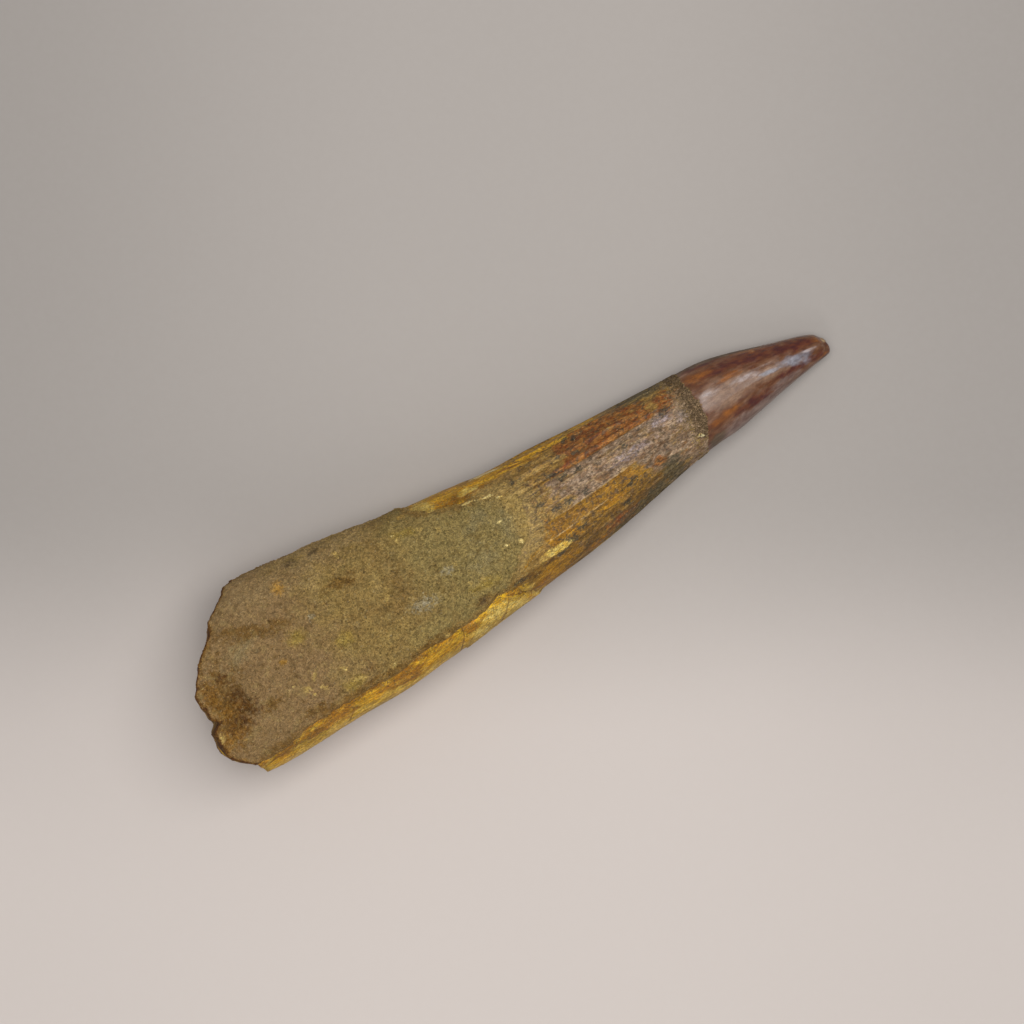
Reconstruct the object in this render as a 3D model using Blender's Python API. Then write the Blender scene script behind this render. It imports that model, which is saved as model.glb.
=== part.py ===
"""A large fossil tooth lying on its side, with sandstone cemented to the front of its root.

The tooth points along +X and rests on z = 0. Its front, the side that carries the sandstone,
faces +Z. Every size below is in millimetres and is turned into metres when a mesh is made.
"""
import math

import bmesh
import bpy
from mathutils import Vector, noise

MM = 0.001

# Driving dimensions, in mm
ROOT_END = -54.0
TIP_END = 54.2
TIP_CAP = 0.55
BELLY_PRESS = 0.97
TIP_LIFT = 1.0
FLUTE_COUNT = 22
FLUTE_DEPTH = 0.20
FLUTES_FROM = 1.0
FLUTES_TO = 32.0
RING_AT = 33.9
RING_WIDTH = 2.4
RING_PROUD = 0.22
RING_LEDGE = 0.22
CRUST_THICK = 3.2
CRUST_PROUD = 0.35
CRUST_WRAP = 2.6
NOTCH_AT = -3.0
NOTCH_DEEP = 1.1
NOTCH_REACH = 0.9
GAP = 0.3

# Mesh fineness
AROUND = 88
ROOT_RINGS = 19
CROWN_RINGS = 9
TIP_RINGS = 8
CUT_TOP = 30.0

# Stations along the tooth: x, upper edge y, lower edge y, half thickness, squareness
STATIONS = [
    (-60.0, 13.9, -13.7, 10.3, 2.5),
    (-39.0, 13.7, -13.7, 10.6, 2.5),
    (-28.0, 12.1, -13.8, 10.3, 2.5),
    (-14.5, 10.0, -13.1, 9.4, 2.4),
    (-1.0, 8.0, -11.7, 8.2, 2.3),
    (12.5, 6.8, -10.1, 7.1, 2.2),
    (25.0, 5.9, -8.0, 5.9, 2.1),
    (33.0, 5.3, -7.0, 5.3, 2.1),
    (36.5, 5.0, -6.75, 4.9, 2.1),
    (40.5, 4.0, -5.95, 4.2, 2.05),
    (46.2, 2.1, -5.2, 3.2, 2.05),
    (51.0, 0.4, -4.5, 2.2, 2.0),
    (54.2, -1.3, -3.9, 1.3, 2.0),
]

# The broken end of the root, seen from the front: y and x of its edge
BROKEN_EDGE = [
    (-13.7, -47.0),
    (-13.1, -50.4),
    (-11.6, -51.4),
    (-9.8, -52.9),
    (-7.9, -54.5),
    (-5.9, -54.75),
    (-3.6, -54.3),
    (-2.3, -53.6),
    (1.9, -53.55),
    (5.2, -51.3),
    (8.5, -47.5),
    (10.1, -46.8),
    (11.6, -44.5),
    (13.6, -41.5),
]

# The sandstone's border on the front, from the broken end along the lower edge and back
CRUST_BORDER = [
    (-60.0, -11.6),
    (-50.8, -11.6),
    (-46.0, -11.9),
    (-40.8, -11.0),
    (-26.5, -11.3),
    (-21.0, -10.6),
    (-11.5, -10.1),
    (-7.9, -9.2),
    (-5.0, -9.0),
    (-1.9, -7.3),
    (1.4, -5.6),
    (3.5, -3.1),
    (4.3, 0.8),
    (3.7, 3.2),
    (-0.2, 4.9),
    (-6.0, 6.0),
    (-9.9, 7.8),
    (-12.5, 9.6),
    (-14.0, 14.0),
    (-17.0, 20.0),
    (-60.0, 20.0),
]


def clear_scene():
    for thing in list(bpy.data.objects):
        bpy.data.objects.remove(thing, do_unlink=True)


def ramp(value, low, high):
    """0 below low, 1 above high, smooth between."""
    t = min(max((value - low) / (high - low), 0.0), 1.0)
    return t * t * (3.0 - 2.0 * t)


def bump(value, centre, reach):
    """1 at the centre, falling smoothly to 0 at the reach on either side."""
    return 1.0 - ramp(abs(value - centre), 0.0, reach)


def lump(x, y, z, size):
    """Smooth noise between about -1 and 1 with lumps of the given size."""
    return noise.noise(Vector((x / size, y / size, z / size)))


def slope_at(stations, i, column):
    before = stations[max(i - 1, 0)]
    after = stations[min(i + 1, len(stations) - 1)]
    return (after[column] - before[column]) / (after[0] - before[0])


def between(stations, x, column):
    """A smooth curve through the stations, read at x."""
    last = len(stations) - 1
    x = min(max(x, stations[0][0]), stations[last][0])
    i = 0
    while i < last - 1 and x > stations[i + 1][0]:
        i += 1
    start = stations[i]
    end = stations[i + 1]
    span = end[0] - start[0]
    t = (x - start[0]) / span
    rise_start = slope_at(stations, i, column) * span
    rise_end = slope_at(stations, i + 1, column) * span
    return (
        start[column] * (2 * t ** 3 - 3 * t ** 2 + 1)
        + rise_start * (t ** 3 - 2 * t ** 2 + t)
        + end[column] * (3 * t ** 2 - 2 * t ** 3)
        + rise_end * (t ** 3 - t ** 2)
    )


def straight(points, value):
    """Straight lines through the points, read at the value."""
    if value <= points[0][0]:
        return points[0][1]
    for a, b in zip(points, points[1:]):
        if value <= b[0]:
            return a[1] + (b[1] - a[1]) * (value - a[0]) / (b[0] - a[0])
    return points[-1][1]


def section(x):
    """Middle y, half width, half thickness, squareness and middle z of the tooth at x."""
    upper = between(STATIONS, x, 1)
    lower = between(STATIONS, x, 2)
    thick = between(STATIONS, x, 3)
    square = between(STATIONS, x, 4)
    middle = thick * BELLY_PRESS + TIP_LIFT * ramp(x, 10.0, TIP_END)
    return (upper + lower) / 2, (upper - lower) / 2, thick, square, middle


def radius(angle, wide, thick, square):
    across = (abs(math.cos(angle)) / wide) ** square
    through = (abs(math.sin(angle)) / thick) ** square
    return (across + through) ** (-1.0 / square)


def broken_end(y, z):
    """x of the broken face: the back stands out further than the front edge."""
    middle = section(ROOT_END)[4]
    thick = section(ROOT_END)[2]
    front = max(0.0, (z - middle) / thick)
    lean = 0.5 + 0.8 * ramp(y, 5.0, 9.0) + 0.7 * bump(y, -6.2, 3.5)
    notch = NOTCH_DEEP * bump(y, NOTCH_AT, NOTCH_REACH) * ramp(front, 0.1, 0.7)
    rough = 0.5 * lump(3.0, y, z, 2.6)
    return straight(BROKEN_EDGE, y) + lean * front ** 1.5 + notch + rough


def ring_line(y):
    """How far the gritty ring lies back from its foremost point."""
    off = y + 0.5
    return (0.02 if off > 0 else 0.055) * off * off


def tooth_relief(x, angle, y, z):
    """Flutes of the crown, streaks of the root and the gritty ring."""
    from_ring = x + ring_line(y) - RING_AT
    fluted = ramp(x, FLUTES_FROM, FLUTES_FROM + 5.0) * (1.0 - ramp(x, FLUTES_TO - 5.0, FLUTES_TO))
    sway = 0.5 * lump(x, math.cos(angle) * 9.0, math.sin(angle) * 9.0, 14.0)
    flutes = FLUTE_DEPTH * math.cos(FLUTE_COUNT * angle + sway) * fluted
    rooted = 1.0 - ramp(x, -4.0, 4.0)
    streaks = 0.22 * noise.noise(Vector((x / 22.0, math.cos(angle) * 3.2, math.sin(angle) * 3.2)))
    dents = 0.30 * lump(x, y, z, 9.0)
    ring = RING_PROUD * bump(from_ring, -RING_WIDTH / 2, RING_WIDTH / 2 + 0.6)
    ledge = RING_LEDGE * ramp(from_ring, -0.1, 0.35) * (1.0 - ramp(x, 36.0, 44.0))
    return flutes + (streaks + dents) * rooted + ring - ledge


def crust_relief(x, angle, y, z):
    """Lumps of the sandstone and the worn hollow near the broken end."""
    broad = 0.55 * lump(x, y, z, 11.0)
    small = 0.30 * lump(x, y, z, 4.2)
    away = math.hypot((x + 48.3) / 1.2, (y + 3.2) / 2.2)
    hollow = 0.75 * (1.0 - ramp(away, 0.3, 1.9))
    return CRUST_PROUD + broad + small - hollow


def ring_places():
    """x of each ring, closer together at the gritty ring and the tip."""
    places = [ROOT_END + (FLUTES_FROM - ROOT_END) * i / ROOT_RINGS for i in range(ROOT_RINGS)]
    crown_end = RING_AT - RING_WIDTH
    places += [FLUTES_FROM + (crown_end - FLUTES_FROM) * i / CROWN_RINGS for i in range(CROWN_RINGS)]
    places += [crown_end, RING_AT - RING_WIDTH / 2, RING_AT - 0.1, RING_AT + 0.4]
    tip_start = RING_AT + 2.5
    for i in range(TIP_RINGS):
        t = i / (TIP_RINGS - 1)
        places.append(tip_start + (TIP_END - tip_start) * (1.0 - (1.0 - t) ** 1.4))
    return places


def form_point(place, angle, relief):
    """A point of the outer form for a ring at the given place and an angle around it."""
    x = place
    y = z = 0.0
    settle = 1.0 - ramp(place, ROOT_END, ROOT_END + 26.0)
    near_ring = bump(place, RING_AT, 7.0)
    for _ in range(4):
        mid_y, wide, thick, square, mid_z = section(x)
        reach = radius(angle, wide, thick, square)
        y = mid_y + reach * math.cos(angle)
        z = mid_z + reach * math.sin(angle)
        x = place + (broken_end(y, z) - ROOT_END) * settle - ring_line(y) * near_ring
    raised = reach + relief(x, angle, y, z) * ramp(TIP_END - x, -1.0, 3.0)
    return Vector((x, mid_y + raised * math.cos(angle), max(mid_z + raised * math.sin(angle), 0.0)))


def end_ring(rim, share, hollow):
    """A ring of the broken face, drawn in towards its middle."""
    mid_y, _, _, _, mid_z = section(ROOT_END)
    ring = []
    for point in rim:
        y = mid_y + (point.y - mid_y) * share
        z = mid_z + (point.z - mid_z) * share
        rough = 0.6 * lump(x=8.0, y=y, z=z, size=3.0)
        ring.append(Vector((broken_end(y, z) + hollow + rough, y, z)))
    return ring


def tip_ring(rim, share, forward):
    """A ring of the worn tip, drawn in towards its middle."""
    middle = sum(rim, Vector()) / len(rim)
    ring = []
    for point in rim:
        inner = middle + (point - middle) * share
        inner.x = TIP_END + forward
        ring.append(inner)
    return ring


def closed_loft(name, rings):
    """A closed mesh from a row of rings, with a fan at either end."""
    bm = bmesh.new()
    rows = [[bm.verts.new(point * MM) for point in ring] for ring in rings]
    count = len(rings[0])
    for near, far in zip(rows, rows[1:]):
        for i in range(count):
            j = (i + 1) % count
            bm.faces.new((near[i], near[j], far[j], far[i]))
    for row, order in ((rows[0], -1), (rows[-1], 1)):
        middle = sum((vert.co for vert in row), Vector()) / count
        hub = bm.verts.new(middle)
        for i in range(count):
            j = (i + 1) % count
            bm.faces.new((hub, row[i], row[j])[::order])
    bmesh.ops.recalc_face_normals(bm, faces=bm.faces)
    mesh = bpy.data.meshes.new(name)
    bm.to_mesh(mesh)
    bm.free()
    mesh.shade_smooth()
    thing = bpy.data.objects.new(name, mesh)
    bpy.context.collection.objects.link(thing)
    return thing


def whole_form(name, relief):
    angles = [math.tau * i / AROUND for i in range(AROUND)]
    rings = [[form_point(place, angle, relief) for angle in angles] for place in ring_places()]
    rim = rings[0]
    broken = [end_ring(rim, 0.30, 1.1), end_ring(rim, 0.62, 0.8), end_ring(rim, 0.88, 0.25)]
    worn = [tip_ring(rings[-1], 0.72, TIP_CAP * 0.7), tip_ring(rings[-1], 0.30, TIP_CAP)]
    return closed_loft(name, broken + rings + worn)


def bed_height(x, y, lift):
    """The hidden surface that the sandstone lies on, sunk into the root."""
    mid_y, wide, thick, square, mid_z = section(x)
    across = min(max((y - mid_y) / wide, -0.98), 0.98)
    crown = (1.0 - abs(across) ** square) ** (1.0 / square)
    return mid_z + (thick - CRUST_THICK) * crown - CRUST_WRAP * ramp(across, 0.55, 0.98) + lift


def bed_block(name, lift):
    """Everything above the bed, as a closed block."""
    columns = [-60.0 + 3.3 * i for i in range(22)]
    lines = [-17.0 + 2.9 * j for j in range(14)]
    bm = bmesh.new()
    low = [[bm.verts.new(Vector((x, y, bed_height(x, y, lift))) * MM) for y in lines] for x in columns]
    high = [[bm.verts.new(Vector((x, y, CUT_TOP)) * MM) for y in lines] for x in columns]
    for i in range(len(columns) - 1):
        for j in range(len(lines) - 1):
            bm.faces.new((low[i][j], low[i + 1][j], low[i + 1][j + 1], low[i][j + 1]))
            bm.faces.new((high[i][j], high[i + 1][j], high[i + 1][j + 1], high[i][j + 1]))
    for i in range(len(columns) - 1):
        for j in (0, len(lines) - 1):
            bm.faces.new((low[i][j], low[i + 1][j], high[i + 1][j], high[i][j]))
    for j in range(len(lines) - 1):
        for i in (0, len(columns) - 1):
            bm.faces.new((low[i][j], low[i][j + 1], high[i][j + 1], high[i][j]))
    return cutter_from(name, bm)


def border_outline(inset):
    """The sandstone's border as a smooth loop, drawn in by the inset."""
    loop = []
    count = len(CRUST_BORDER)
    for i in range(count):
        a, b, c, d = (Vector(CRUST_BORDER[(i + k) % count]) for k in (-1, 0, 1, 2))
        inside = b.x > -50.0 and c.x > -50.0 and c.y < 10.0
        steps = 3 if inside else 1
        for k in range(steps):
            t = k / steps
            curve = (
                b * 2
                + (c - a) * t
                + (a * 2 - b * 5 + c * 4 - d) * t ** 2
                + (b * 3 - a - c * 3 + d) * t ** 3
            )
            loop.append(curve / 2)
    drawn = []
    for i, point in enumerate(loop):
        along = (loop[(i + 1) % len(loop)] - loop[i - 1]).normalized()
        drawn.append(point + Vector((-along.y, along.x)) * inset)
    return drawn


def border_prism(name, inset):
    """An upright block with the outline of the sandstone."""
    bm = bmesh.new()
    floor = [bm.verts.new(Vector((p.x, p.y, -3.0)) * MM) for p in border_outline(inset)]
    bottom = bm.faces.new(floor)
    raised = bmesh.ops.extrude_face_region(bm, geom=[bottom])
    moved = [part for part in raised["geom"] if isinstance(part, bmesh.types.BMVert)]
    bmesh.ops.translate(bm, verts=moved, vec=Vector((0.0, 0.0, CUT_TOP + 1.0)) * MM)
    return cutter_from(name, bm)


def cutter_from(name, bm):
    bmesh.ops.recalc_face_normals(bm, faces=bm.faces)
    mesh = bpy.data.meshes.new(name)
    bm.to_mesh(mesh)
    bm.free()
    thing = bpy.data.objects.new(name, mesh)
    bpy.context.collection.objects.link(thing)
    thing.hide_render = True
    thing.display_type = "WIRE"
    return thing


def boolean(thing, cutter, operation):
    cut = thing.modifiers.new(cutter.name, "BOOLEAN")
    cut.object = cutter
    cut.operation = operation
    cut.solver = "EXACT"


def crust_cutter(name, inset):
    """The room of the sandstone: inside its border and above its bed."""
    block = bed_block(name + "_block", inset)
    boolean(block, border_prism(name + "_prism", inset), "INTERSECT")
    return block


def material(name, colour, roughness):
    made = bpy.data.materials.new(name)
    made.use_nodes = True
    shader = made.node_tree.nodes["Principled BSDF"]
    shader.inputs["Base Color"].default_value = (*colour, 1.0)
    shader.inputs["Roughness"].default_value = roughness
    shader.inputs["Metallic"].default_value = 0.0
    made.diffuse_color = (*colour, 1.0)
    return made


def build_tooth():
    tooth = whole_form("tooth", tooth_relief)
    boolean(tooth, crust_cutter("room_for_crust", 0.0), "DIFFERENCE")
    tooth.data.materials.append(material("brown_enamel", (0.22, 0.12, 0.05), 0.35))
    return tooth


def build_sandstone():
    sandstone = whole_form("sandstone_matrix", crust_relief)
    boolean(sandstone, crust_cutter("crust_limits", GAP), "INTERSECT")
    sandstone.data.materials.append(material("tan_sandstone", (0.22, 0.15, 0.06), 0.92))
    return sandstone


def main():
    clear_scene()
    build_tooth()
    build_sandstone()


main()
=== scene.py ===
"""A fossil spinosaurus tooth with sandstone on its root, lying on a pale floor, seen from above.

The tooth points along +X and its sandstone faces +Z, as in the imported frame. The form is worked
out in millimetres and turned into metres when a mesh is made.
"""
import math

import bmesh
import bpy
import numpy as np
from mathutils import Matrix, Vector, noise


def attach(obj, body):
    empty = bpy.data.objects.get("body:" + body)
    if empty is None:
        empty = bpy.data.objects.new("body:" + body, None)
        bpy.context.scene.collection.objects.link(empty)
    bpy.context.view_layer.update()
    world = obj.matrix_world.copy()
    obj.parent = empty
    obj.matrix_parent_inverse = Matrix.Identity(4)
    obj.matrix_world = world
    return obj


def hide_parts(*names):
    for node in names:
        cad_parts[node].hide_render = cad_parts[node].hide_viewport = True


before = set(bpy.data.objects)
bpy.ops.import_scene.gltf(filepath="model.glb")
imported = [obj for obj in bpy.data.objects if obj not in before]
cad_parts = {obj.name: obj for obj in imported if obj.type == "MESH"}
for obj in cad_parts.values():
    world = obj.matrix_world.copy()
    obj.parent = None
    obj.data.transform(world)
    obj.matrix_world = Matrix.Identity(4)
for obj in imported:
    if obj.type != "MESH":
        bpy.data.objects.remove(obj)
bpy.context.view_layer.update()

MM = 0.001

# How bright the studio light and its reflection make a surface that faces the camera
STUDIO_LIGHT = 0.95
REFLECTED = 0.016

# Form of the tooth, in mm
ROOT_END = -54.0
TIP_END = 54.5
TIP_LIFT = 1.0
FLUTE_DEPTH = 0.24
FLUTES_FROM = 1.0
FLUTES_TO = 33.0
RING_AT = 33.3
RING_WIDTH = 2.4
RING_PROUD = 0.07
RING_LEDGE = 0.05
CRUST_THICK = 3.2
CRUST_PROUD = 0.35
CRUST_WRAP = 2.6
NOTCH_AT = -3.1
NOTCH_DEEP = 1.4
NOTCH_REACH = 1.0
END_REACH = 9.0
END_SUNK = 0.8

# The middle line lies this many half thicknesses above the floor
BELLY_PRESS = 0.97

# Rings that close the tip: their size against its last row, and how far past TIP_END they lie
TIP_RINGS = ((0.86, 0.22), (0.66, 0.40), (0.42, 0.52), (0.18, 0.55))

# The sandstone's underside: how deep it lies at least, and the share of the bed's depth it adds
UNDER_LEAST = 0.92
UNDER_SHARE = 0.77

# Lines on the tooth are stored as distances of up to half this, in mm
LINE_SPAN = 4.0

# Grains of sand: how many of each kind, their radius from and to, and the share of it they are sunk
SAND_GRAINS = 9800
LOOSE_GRAINS = 6400
COARSE_SAND = (0.09, 0.20)
FINE_SAND = (0.06, 0.11)
LOOSE_SAND = (0.05, 0.12)
GRAIN_SUNK = 0.35

# Stage: the photograph's frame is 1024 pixels at 0.15 mm, and lengths without MM are in metres
PHOTO_PIXELS = 1024
PIXEL_MM = 0.15
VIEW_WIDTH = PHOTO_PIXELS * PIXEL_MM * MM
VIEW_ROLL = math.radians(-31.7)
VIEW_CENTRE = (0.0011, 0.0006)
SILHOUETTE_HEIGHT = 0.008
FLOOR_SIZE = 6.0
LENS_MM = 200.0
SENSOR_MM = 36.0

# Fineness of the meshes: how many rows and columns, and where rows begin and end, in mm
TOOTH_COLUMNS = 268
ROOT_ROWS = 150
CROWN_ROWS = 112
RING_ROWS = 28
RING_ROWS_FROM = RING_AT - 2.6
RING_ROWS_TO = RING_AT + 1.4
TIP_ROWS = 60
CAP_ROWS = 14
CRUST_ROWS = 262
CRUST_COLUMNS = 160
CRUST_TO = 5.6
WALL_ROWS = 9
SKIRT = 0.5
GRIT_GRID = (420, 240)

# Stations along the tooth: x, upper edge y, lower edge y, half thickness, squareness
STATIONS = np.array([
    (-60.0, 13.9, -13.7, 10.3, 2.5),
    (-39.0, 13.7, -13.7, 10.6, 2.5),
    (-28.0, 12.0, -13.75, 10.3, 2.5),
    (-14.5, 10.0, -12.8, 9.4, 2.4),
    (-1.0, 8.0, -11.6, 8.2, 2.3),
    (12.5, 6.75, -10.1, 7.1, 2.2),
    (25.0, 5.85, -7.9, 5.9, 2.1),
    (33.0, 5.35, -7.0, 5.3, 2.1),
    (36.5, 5.05, -6.85, 4.9, 2.1),
    (40.5, 4.1, -6.2, 4.2, 2.05),
    (46.2, 2.2, -5.25, 3.25, 2.05),
    (51.0, 0.7, -4.6, 2.3, 2.0),
    (53.7, -0.35, -4.3, 1.7, 2.0),
    (54.6, -1.5, -4.15, 1.15, 2.0),
])

# The broken end of the root, seen from the front: y and x of its edge
BROKEN_EDGE = np.array([
    (-13.7, -46.9), (-13.1, -50.2), (-11.6, -50.8), (-10.9, -51.3), (-9.8, -53.0), (-9.0, -54.1),
    (-7.9, -54.7), (-5.9, -54.95), (-3.6, -54.5), (-2.3, -53.6), (1.9, -53.6), (5.2, -51.2),
    (8.5, -47.7), (10.1, -47.0), (11.6, -44.5), (13.3, -42.0), (13.9, -39.8),
])

# The sandstone's border on the front, from the broken end along the lower edge and back
CRUST_BORDER = [
    (-60.0, -11.6), (-50.8, -11.6), (-46.0, -11.6), (-41.0, -10.8), (-34.5, -10.6), (-28.0, -10.8),
    (-24.5, -10.9), (-21.5, -10.3), (-11.5, -10.1), (-7.9, -9.2), (-5.0, -9.0), (-1.9, -7.3),
    (1.4, -5.6), (3.5, -3.1), (4.3, 0.8), (3.7, 3.2), (-0.2, 4.9), (-6.0, 6.0), (-9.9, 7.8),
    (-12.5, 9.6), (-14.0, 14.0), (-17.0, 20.0), (-60.0, 20.0),
]

# Ridges between the flutes on the front: degrees round the crown from +Y, then where the line along
# the ridge shows, from x to x, and its painted tone against the enamel, 0 painted shade to 1 painted
# highlight
FRONT_RIDGES = [
    (43.7, 3.7, 10.0, 0.35),
    (56.9, 4.2, 10.5, 0.0),
    (63.6, 10.0, 26.0, 0.2),
    (73.3, 5.7, 22.0, 0.65),
    (88.8, 5.3, 22.0, 0.6),
    (102.0, 7.0, 19.2, 1.0),
    (119.6, 2.9, 14.0, 1.0),
]
BACK_RIDGES = 20

# The raised flake of dentine below the sandstone: x and y of its outline
FLAKE = [
    (-14.2, -10.6), (-13.4, -10.0), (-9.0, -9.2), (-6.9, -9.0), (-5.3, -9.9), (-3.8, -10.3),
    (-2.9, -11.0), (-0.9, -11.6), (-1.4, -13.5), (-16.5, -14.5),
]

# Cracks in the dentine and the crown: x and y of each point, on the front
CRACKS = [
    [(-3.9, -10.1), (-3.4, -10.5), (-2.7, -10.9), (-1.6, -11.1)],
    [(-14.3, -10.4), (-14.7, -11.4), (-15.3, -12.2), (-16.3, -13.0)],
    [(-6.3, -10.3), (-7.0, -11.0), (-7.4, -11.5), (-8.3, -12.0)],
    [(-35.0, -11.3), (-34.2, -11.9), (-34.4, -12.5), (-35.4, -13.1)],
    [(13.0, -3.5), (13.1, -4.3), (12.8, -4.9), (12.9, -5.4)],
]

# Colours that keep to one flute of the crown: the flute, and x from and to
FLUTE_ZONES = {
    "gold": [(5.5, 2.5, 20.0), (6.5, 3.5, 9.0), (24.5, -4.0, 19.0), (25.5, -2.0, 11.0)],
    "brown": [(6.5, 9.0, 21.0), (7.5, -2.0, 25.0), (8.5, -2.0, 25.0), (9.5, 0.0, 24.0)],
    # grey-purple on these flutes: partly the enamel's colour, partly painted sheen along the crown's
    # middle
    "purple_and_sheen": [(0.5, 29.5, 34.0), (1.5, 26.5, 34.0), (2.5, 7.5, 34.0), (3.5, 8.0, 34.0),
               (4.5, 10.0, 34.0), (5.5, 21.5, 34.0), (6.5, 22.5, 34.0), (7.5, 26.0, 34.0),
               (8.5, 25.5, 36.0), (9.5, 24.5, 36.0), (10.5, 24.0, 36.0), (11.5, 24.0, 36.0)],
    "red": [(-0.5, 11.0, 24.0), (0.5, 12.0, 25.0), (1.5, 9.0, 25.5), (25.5, 14.0, 24.0)],
}

# Soft ovals of colour on the front of the tooth, as spots() reads them; some are painted highlights, a
# painted reflection and painted shade on the tip and crown
TOOTH_SPOTS = {
    "orange": [
        (-24.9, -12.0, 3.2, 0.8), (-36.2, -12.2, 2.2, 0.5), (-46, -11.9, 3.0, 0.5),
        (-35.9, -11.9, 1.9, 0.55), (-26.5, -11.7, 2.6, 0.6), (-40, -12.0, 2.0, 0.5),
        (-13, -10.6, 1.5, 0.4), (-6.0, 6.6, 1.6, 0.4, -16), (4.0, 6.5, 3.8, 0.14, -11),
        (-2.5, 6.3, 3.0, 0.4, -8), (4.5, -0.6, 0.3, 3.6), (-45.0, -11.5, 3.0, 0.4, 4),
        (-37.4, -11.6, 3.4, 0.65), (-26.2, -11.7, 2.6, 0.7), (9.7, -10.0, 1.8, 0.3, 8),
        (-1.0, -10.9, 2.0, 0.35, 8),
    ],
    "pale": [
        (-8.8, -10.9, 2.3, 1.0, 4), (-5.4, -11.3, 1.6, 0.7, -8), (-12.0, -11.9, 1.6, 0.5),
        (3.9, -7.75, 2.3, 0.55, 2), (-9.9, 8.2, 1.7, 0.7, -30), (-3.2, 7.0, 1.6, 0.4, -8),
        (-2.0, -11.4, 0.9, 0.25, -15),
    ],
    "brown": [
        (-24.6, -11.3, 2.2, 0.6), (-29.0, -12.0, 1.0, 0.35), (12.5, -8.8, 9.5, 1.2, 6),
        (-0.6, -9.2, 4.0, 0.9, 5), (9.0, 1.9, 4.0, 0.22, -2), (22.0, -7.0, 3.0, 0.8, 8),
    ],
    "gold": [
        (20.4, -4.2, 2.2, 0.7), (15.0, -5.8, 3.0, 0.5, 4), (-3.0, 6.6, 3.0, 0.8, -8),
        (0.0, -6.6, 2.5, 0.5, 20), (3.0, -10.0, 4.5, 1.0, 8),
    ],
    "bright_gold": [
        (-9.8, 8.3, 2.4, 1.0, -25), (-5.5, 7.9, 3.0, 0.45, -10), (-2.3, 7.4, 2.6, 0.45, -8),
        (12.5, 6.15, 7.0, 0.42, -4), (4.5, 7.1, 5.0, 0.45, -5), (-19.5, -11.4, 4.8, 0.9),
        (-31.0, -11.8, 2.6, 0.6), (-47.0, -12.6, 2.5, 0.5), (-42.0, -11.8, 1.6, 0.4),
        (-33.2, -11.3, 1.2, 0.3), (-8.5, -10.2, 3.0, 0.5, 4), (-30.5, -11.9, 1.5, 0.35),
        (-2.6, -12.0, 1.4, 0.4, -5),
    ],
    "red": [
        (24.2, 3.3, 3.4, 1.4, -4), (29.3, 2.9, 2.0, 1.7), (22.0, 4.7, 5.0, 0.7, -5),
        (23.9, -4.4, 1.0, 0.8), (15.0, -8.9, 3.0, 0.7, 8),
    ],
    "dark": [
        (9.1, 2.1, 1.2, 0.28, -8), (10.2, 1.0, 0.6, 0.45), (12.8, 0.9, 0.7, 0.35), (13.6, 3.3, 0.5, 0.45),
        (13.2, 5.8, 0.5, 0.4), (5.2, -0.7, 0.6, 0.3), (7.0, -2.4, 0.7, 0.35), (9.1, -2.5, 0.8, 0.35),
        (12.1, -2.6, 0.7, 0.4), (6.8, -7.4, 0.9, 0.6), (8.9, -6.8, 0.9, 0.3), (4.3, -8.5, 0.7, 0.25),
        (-3.4, -8.9, 1.5, 0.22, 4), (-4.6, 4.9, 0.35, 0.25), (14.6, 5.2, 0.4, 0.3), (28.4, 1.5, 0.7, 0.5),
        (18.6, -4.9, 1.0, 0.35, 20), (3.4, 4.4, 0.3, 0.3), (11.2, 4.0, 0.4, 0.3), (16.5, -7.2, 0.7, 0.3),
        (20.5, 0.2, 0.5, 0.4),
    ],
    "grime": [
        (25.3, -6.6, 2.3, 1.8, 15), (21.5, -8.1, 3.0, 0.7, 8), (33.0, -6.4, 1.6, 0.6, 8),
        (27.0, 5.4, 5.0, 0.6, -4), (20.0, -8.5, 6.0, 0.45, 7),
    ],
    # cream: pale chips, and along the upper edge a painted highlight
    "cream_and_highlight": [
        (54.8, -2.0, 0.25, 0.8, 20), (31.2, -4.5, 0.5, 0.25, -20), (-0.6, 7.85, 1.5, 0.24, -10),
        (3.0, 7.1, 3.2, 0.22, -12), (8.6, 6.6, 2.4, 0.14, -5),
    ],
    "dusty": [
        (30.8, -0.5, 1.2, 3.6),
    ],
    # lavender spots on the crown: painted highlights
    "lilac_highlight": [
        (27.4, 0.6, 1.6, 0.7), (30.4, -0.5, 1.2, 0.8), (20.5, -1.2, 3.0, 0.6),
    ],
    # pale along the tip's middle line: painted highlight
    "tip_pale_and_highlight": [
        (38.0, -0.9, 4.4, 1.9, -4), (44.5, -1.9, 4.2, 0.9, -12),
    ],
    # bluish-white streak near the tip's end: painted highlight
    "tip_blue_highlight": [
        (49.6, -2.4, 2.3, 0.75, -10), (45.0, -1.8, 1.2, 0.3, -8),
    ],
    # pale spots on the tip: painted highlights
    "tip_highlight": [
        (41.4, -0.7, 1.8, 0.45, -6), (52.0, -2.1, 1.2, 0.16, -8), (35.0, 0.2, 1.4, 0.6),
    ],
    # mauve-grey band along the tip's lower edge: painted reflection of the floor
    "tip_mauve_reflection": [
        (40.5, -5.7, 8.5, 0.8, 8), (47.0, -3.9, 2.5, 0.4, 4),
    ],
    "tip_orange": [
        (35.8, 3.1, 2.3, 0.7, -6), (44.4, 2.1, 2.6, 0.45, -20), (39.8, 0.9, 1.8, 0.45),
        (36.0, -3.9, 2.2, 0.6, 4), (53.2, -1.2, 1.2, 0.35, -30), (52.8, -3.9, 1.4, 0.2, 4),
    ],
    # dark red-brown on the tip: partly the enamel's colour, partly painted shade below the highlight and
    # along the upper edge
    "tip_dark_and_shade": [
        (37.9, 2.5, 2.0, 0.35, -4), (43.6, 1.7, 5.0, 0.9, -14), (49.6, -3.4, 4.0, 0.4, -3),
        (49.0, 0.0, 4.4, 0.8, -18), (41.0, -4.3, 3.3, 0.6, 2), (36.6, 4.4, 2.6, 0.22, -8),
    ],
}
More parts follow.
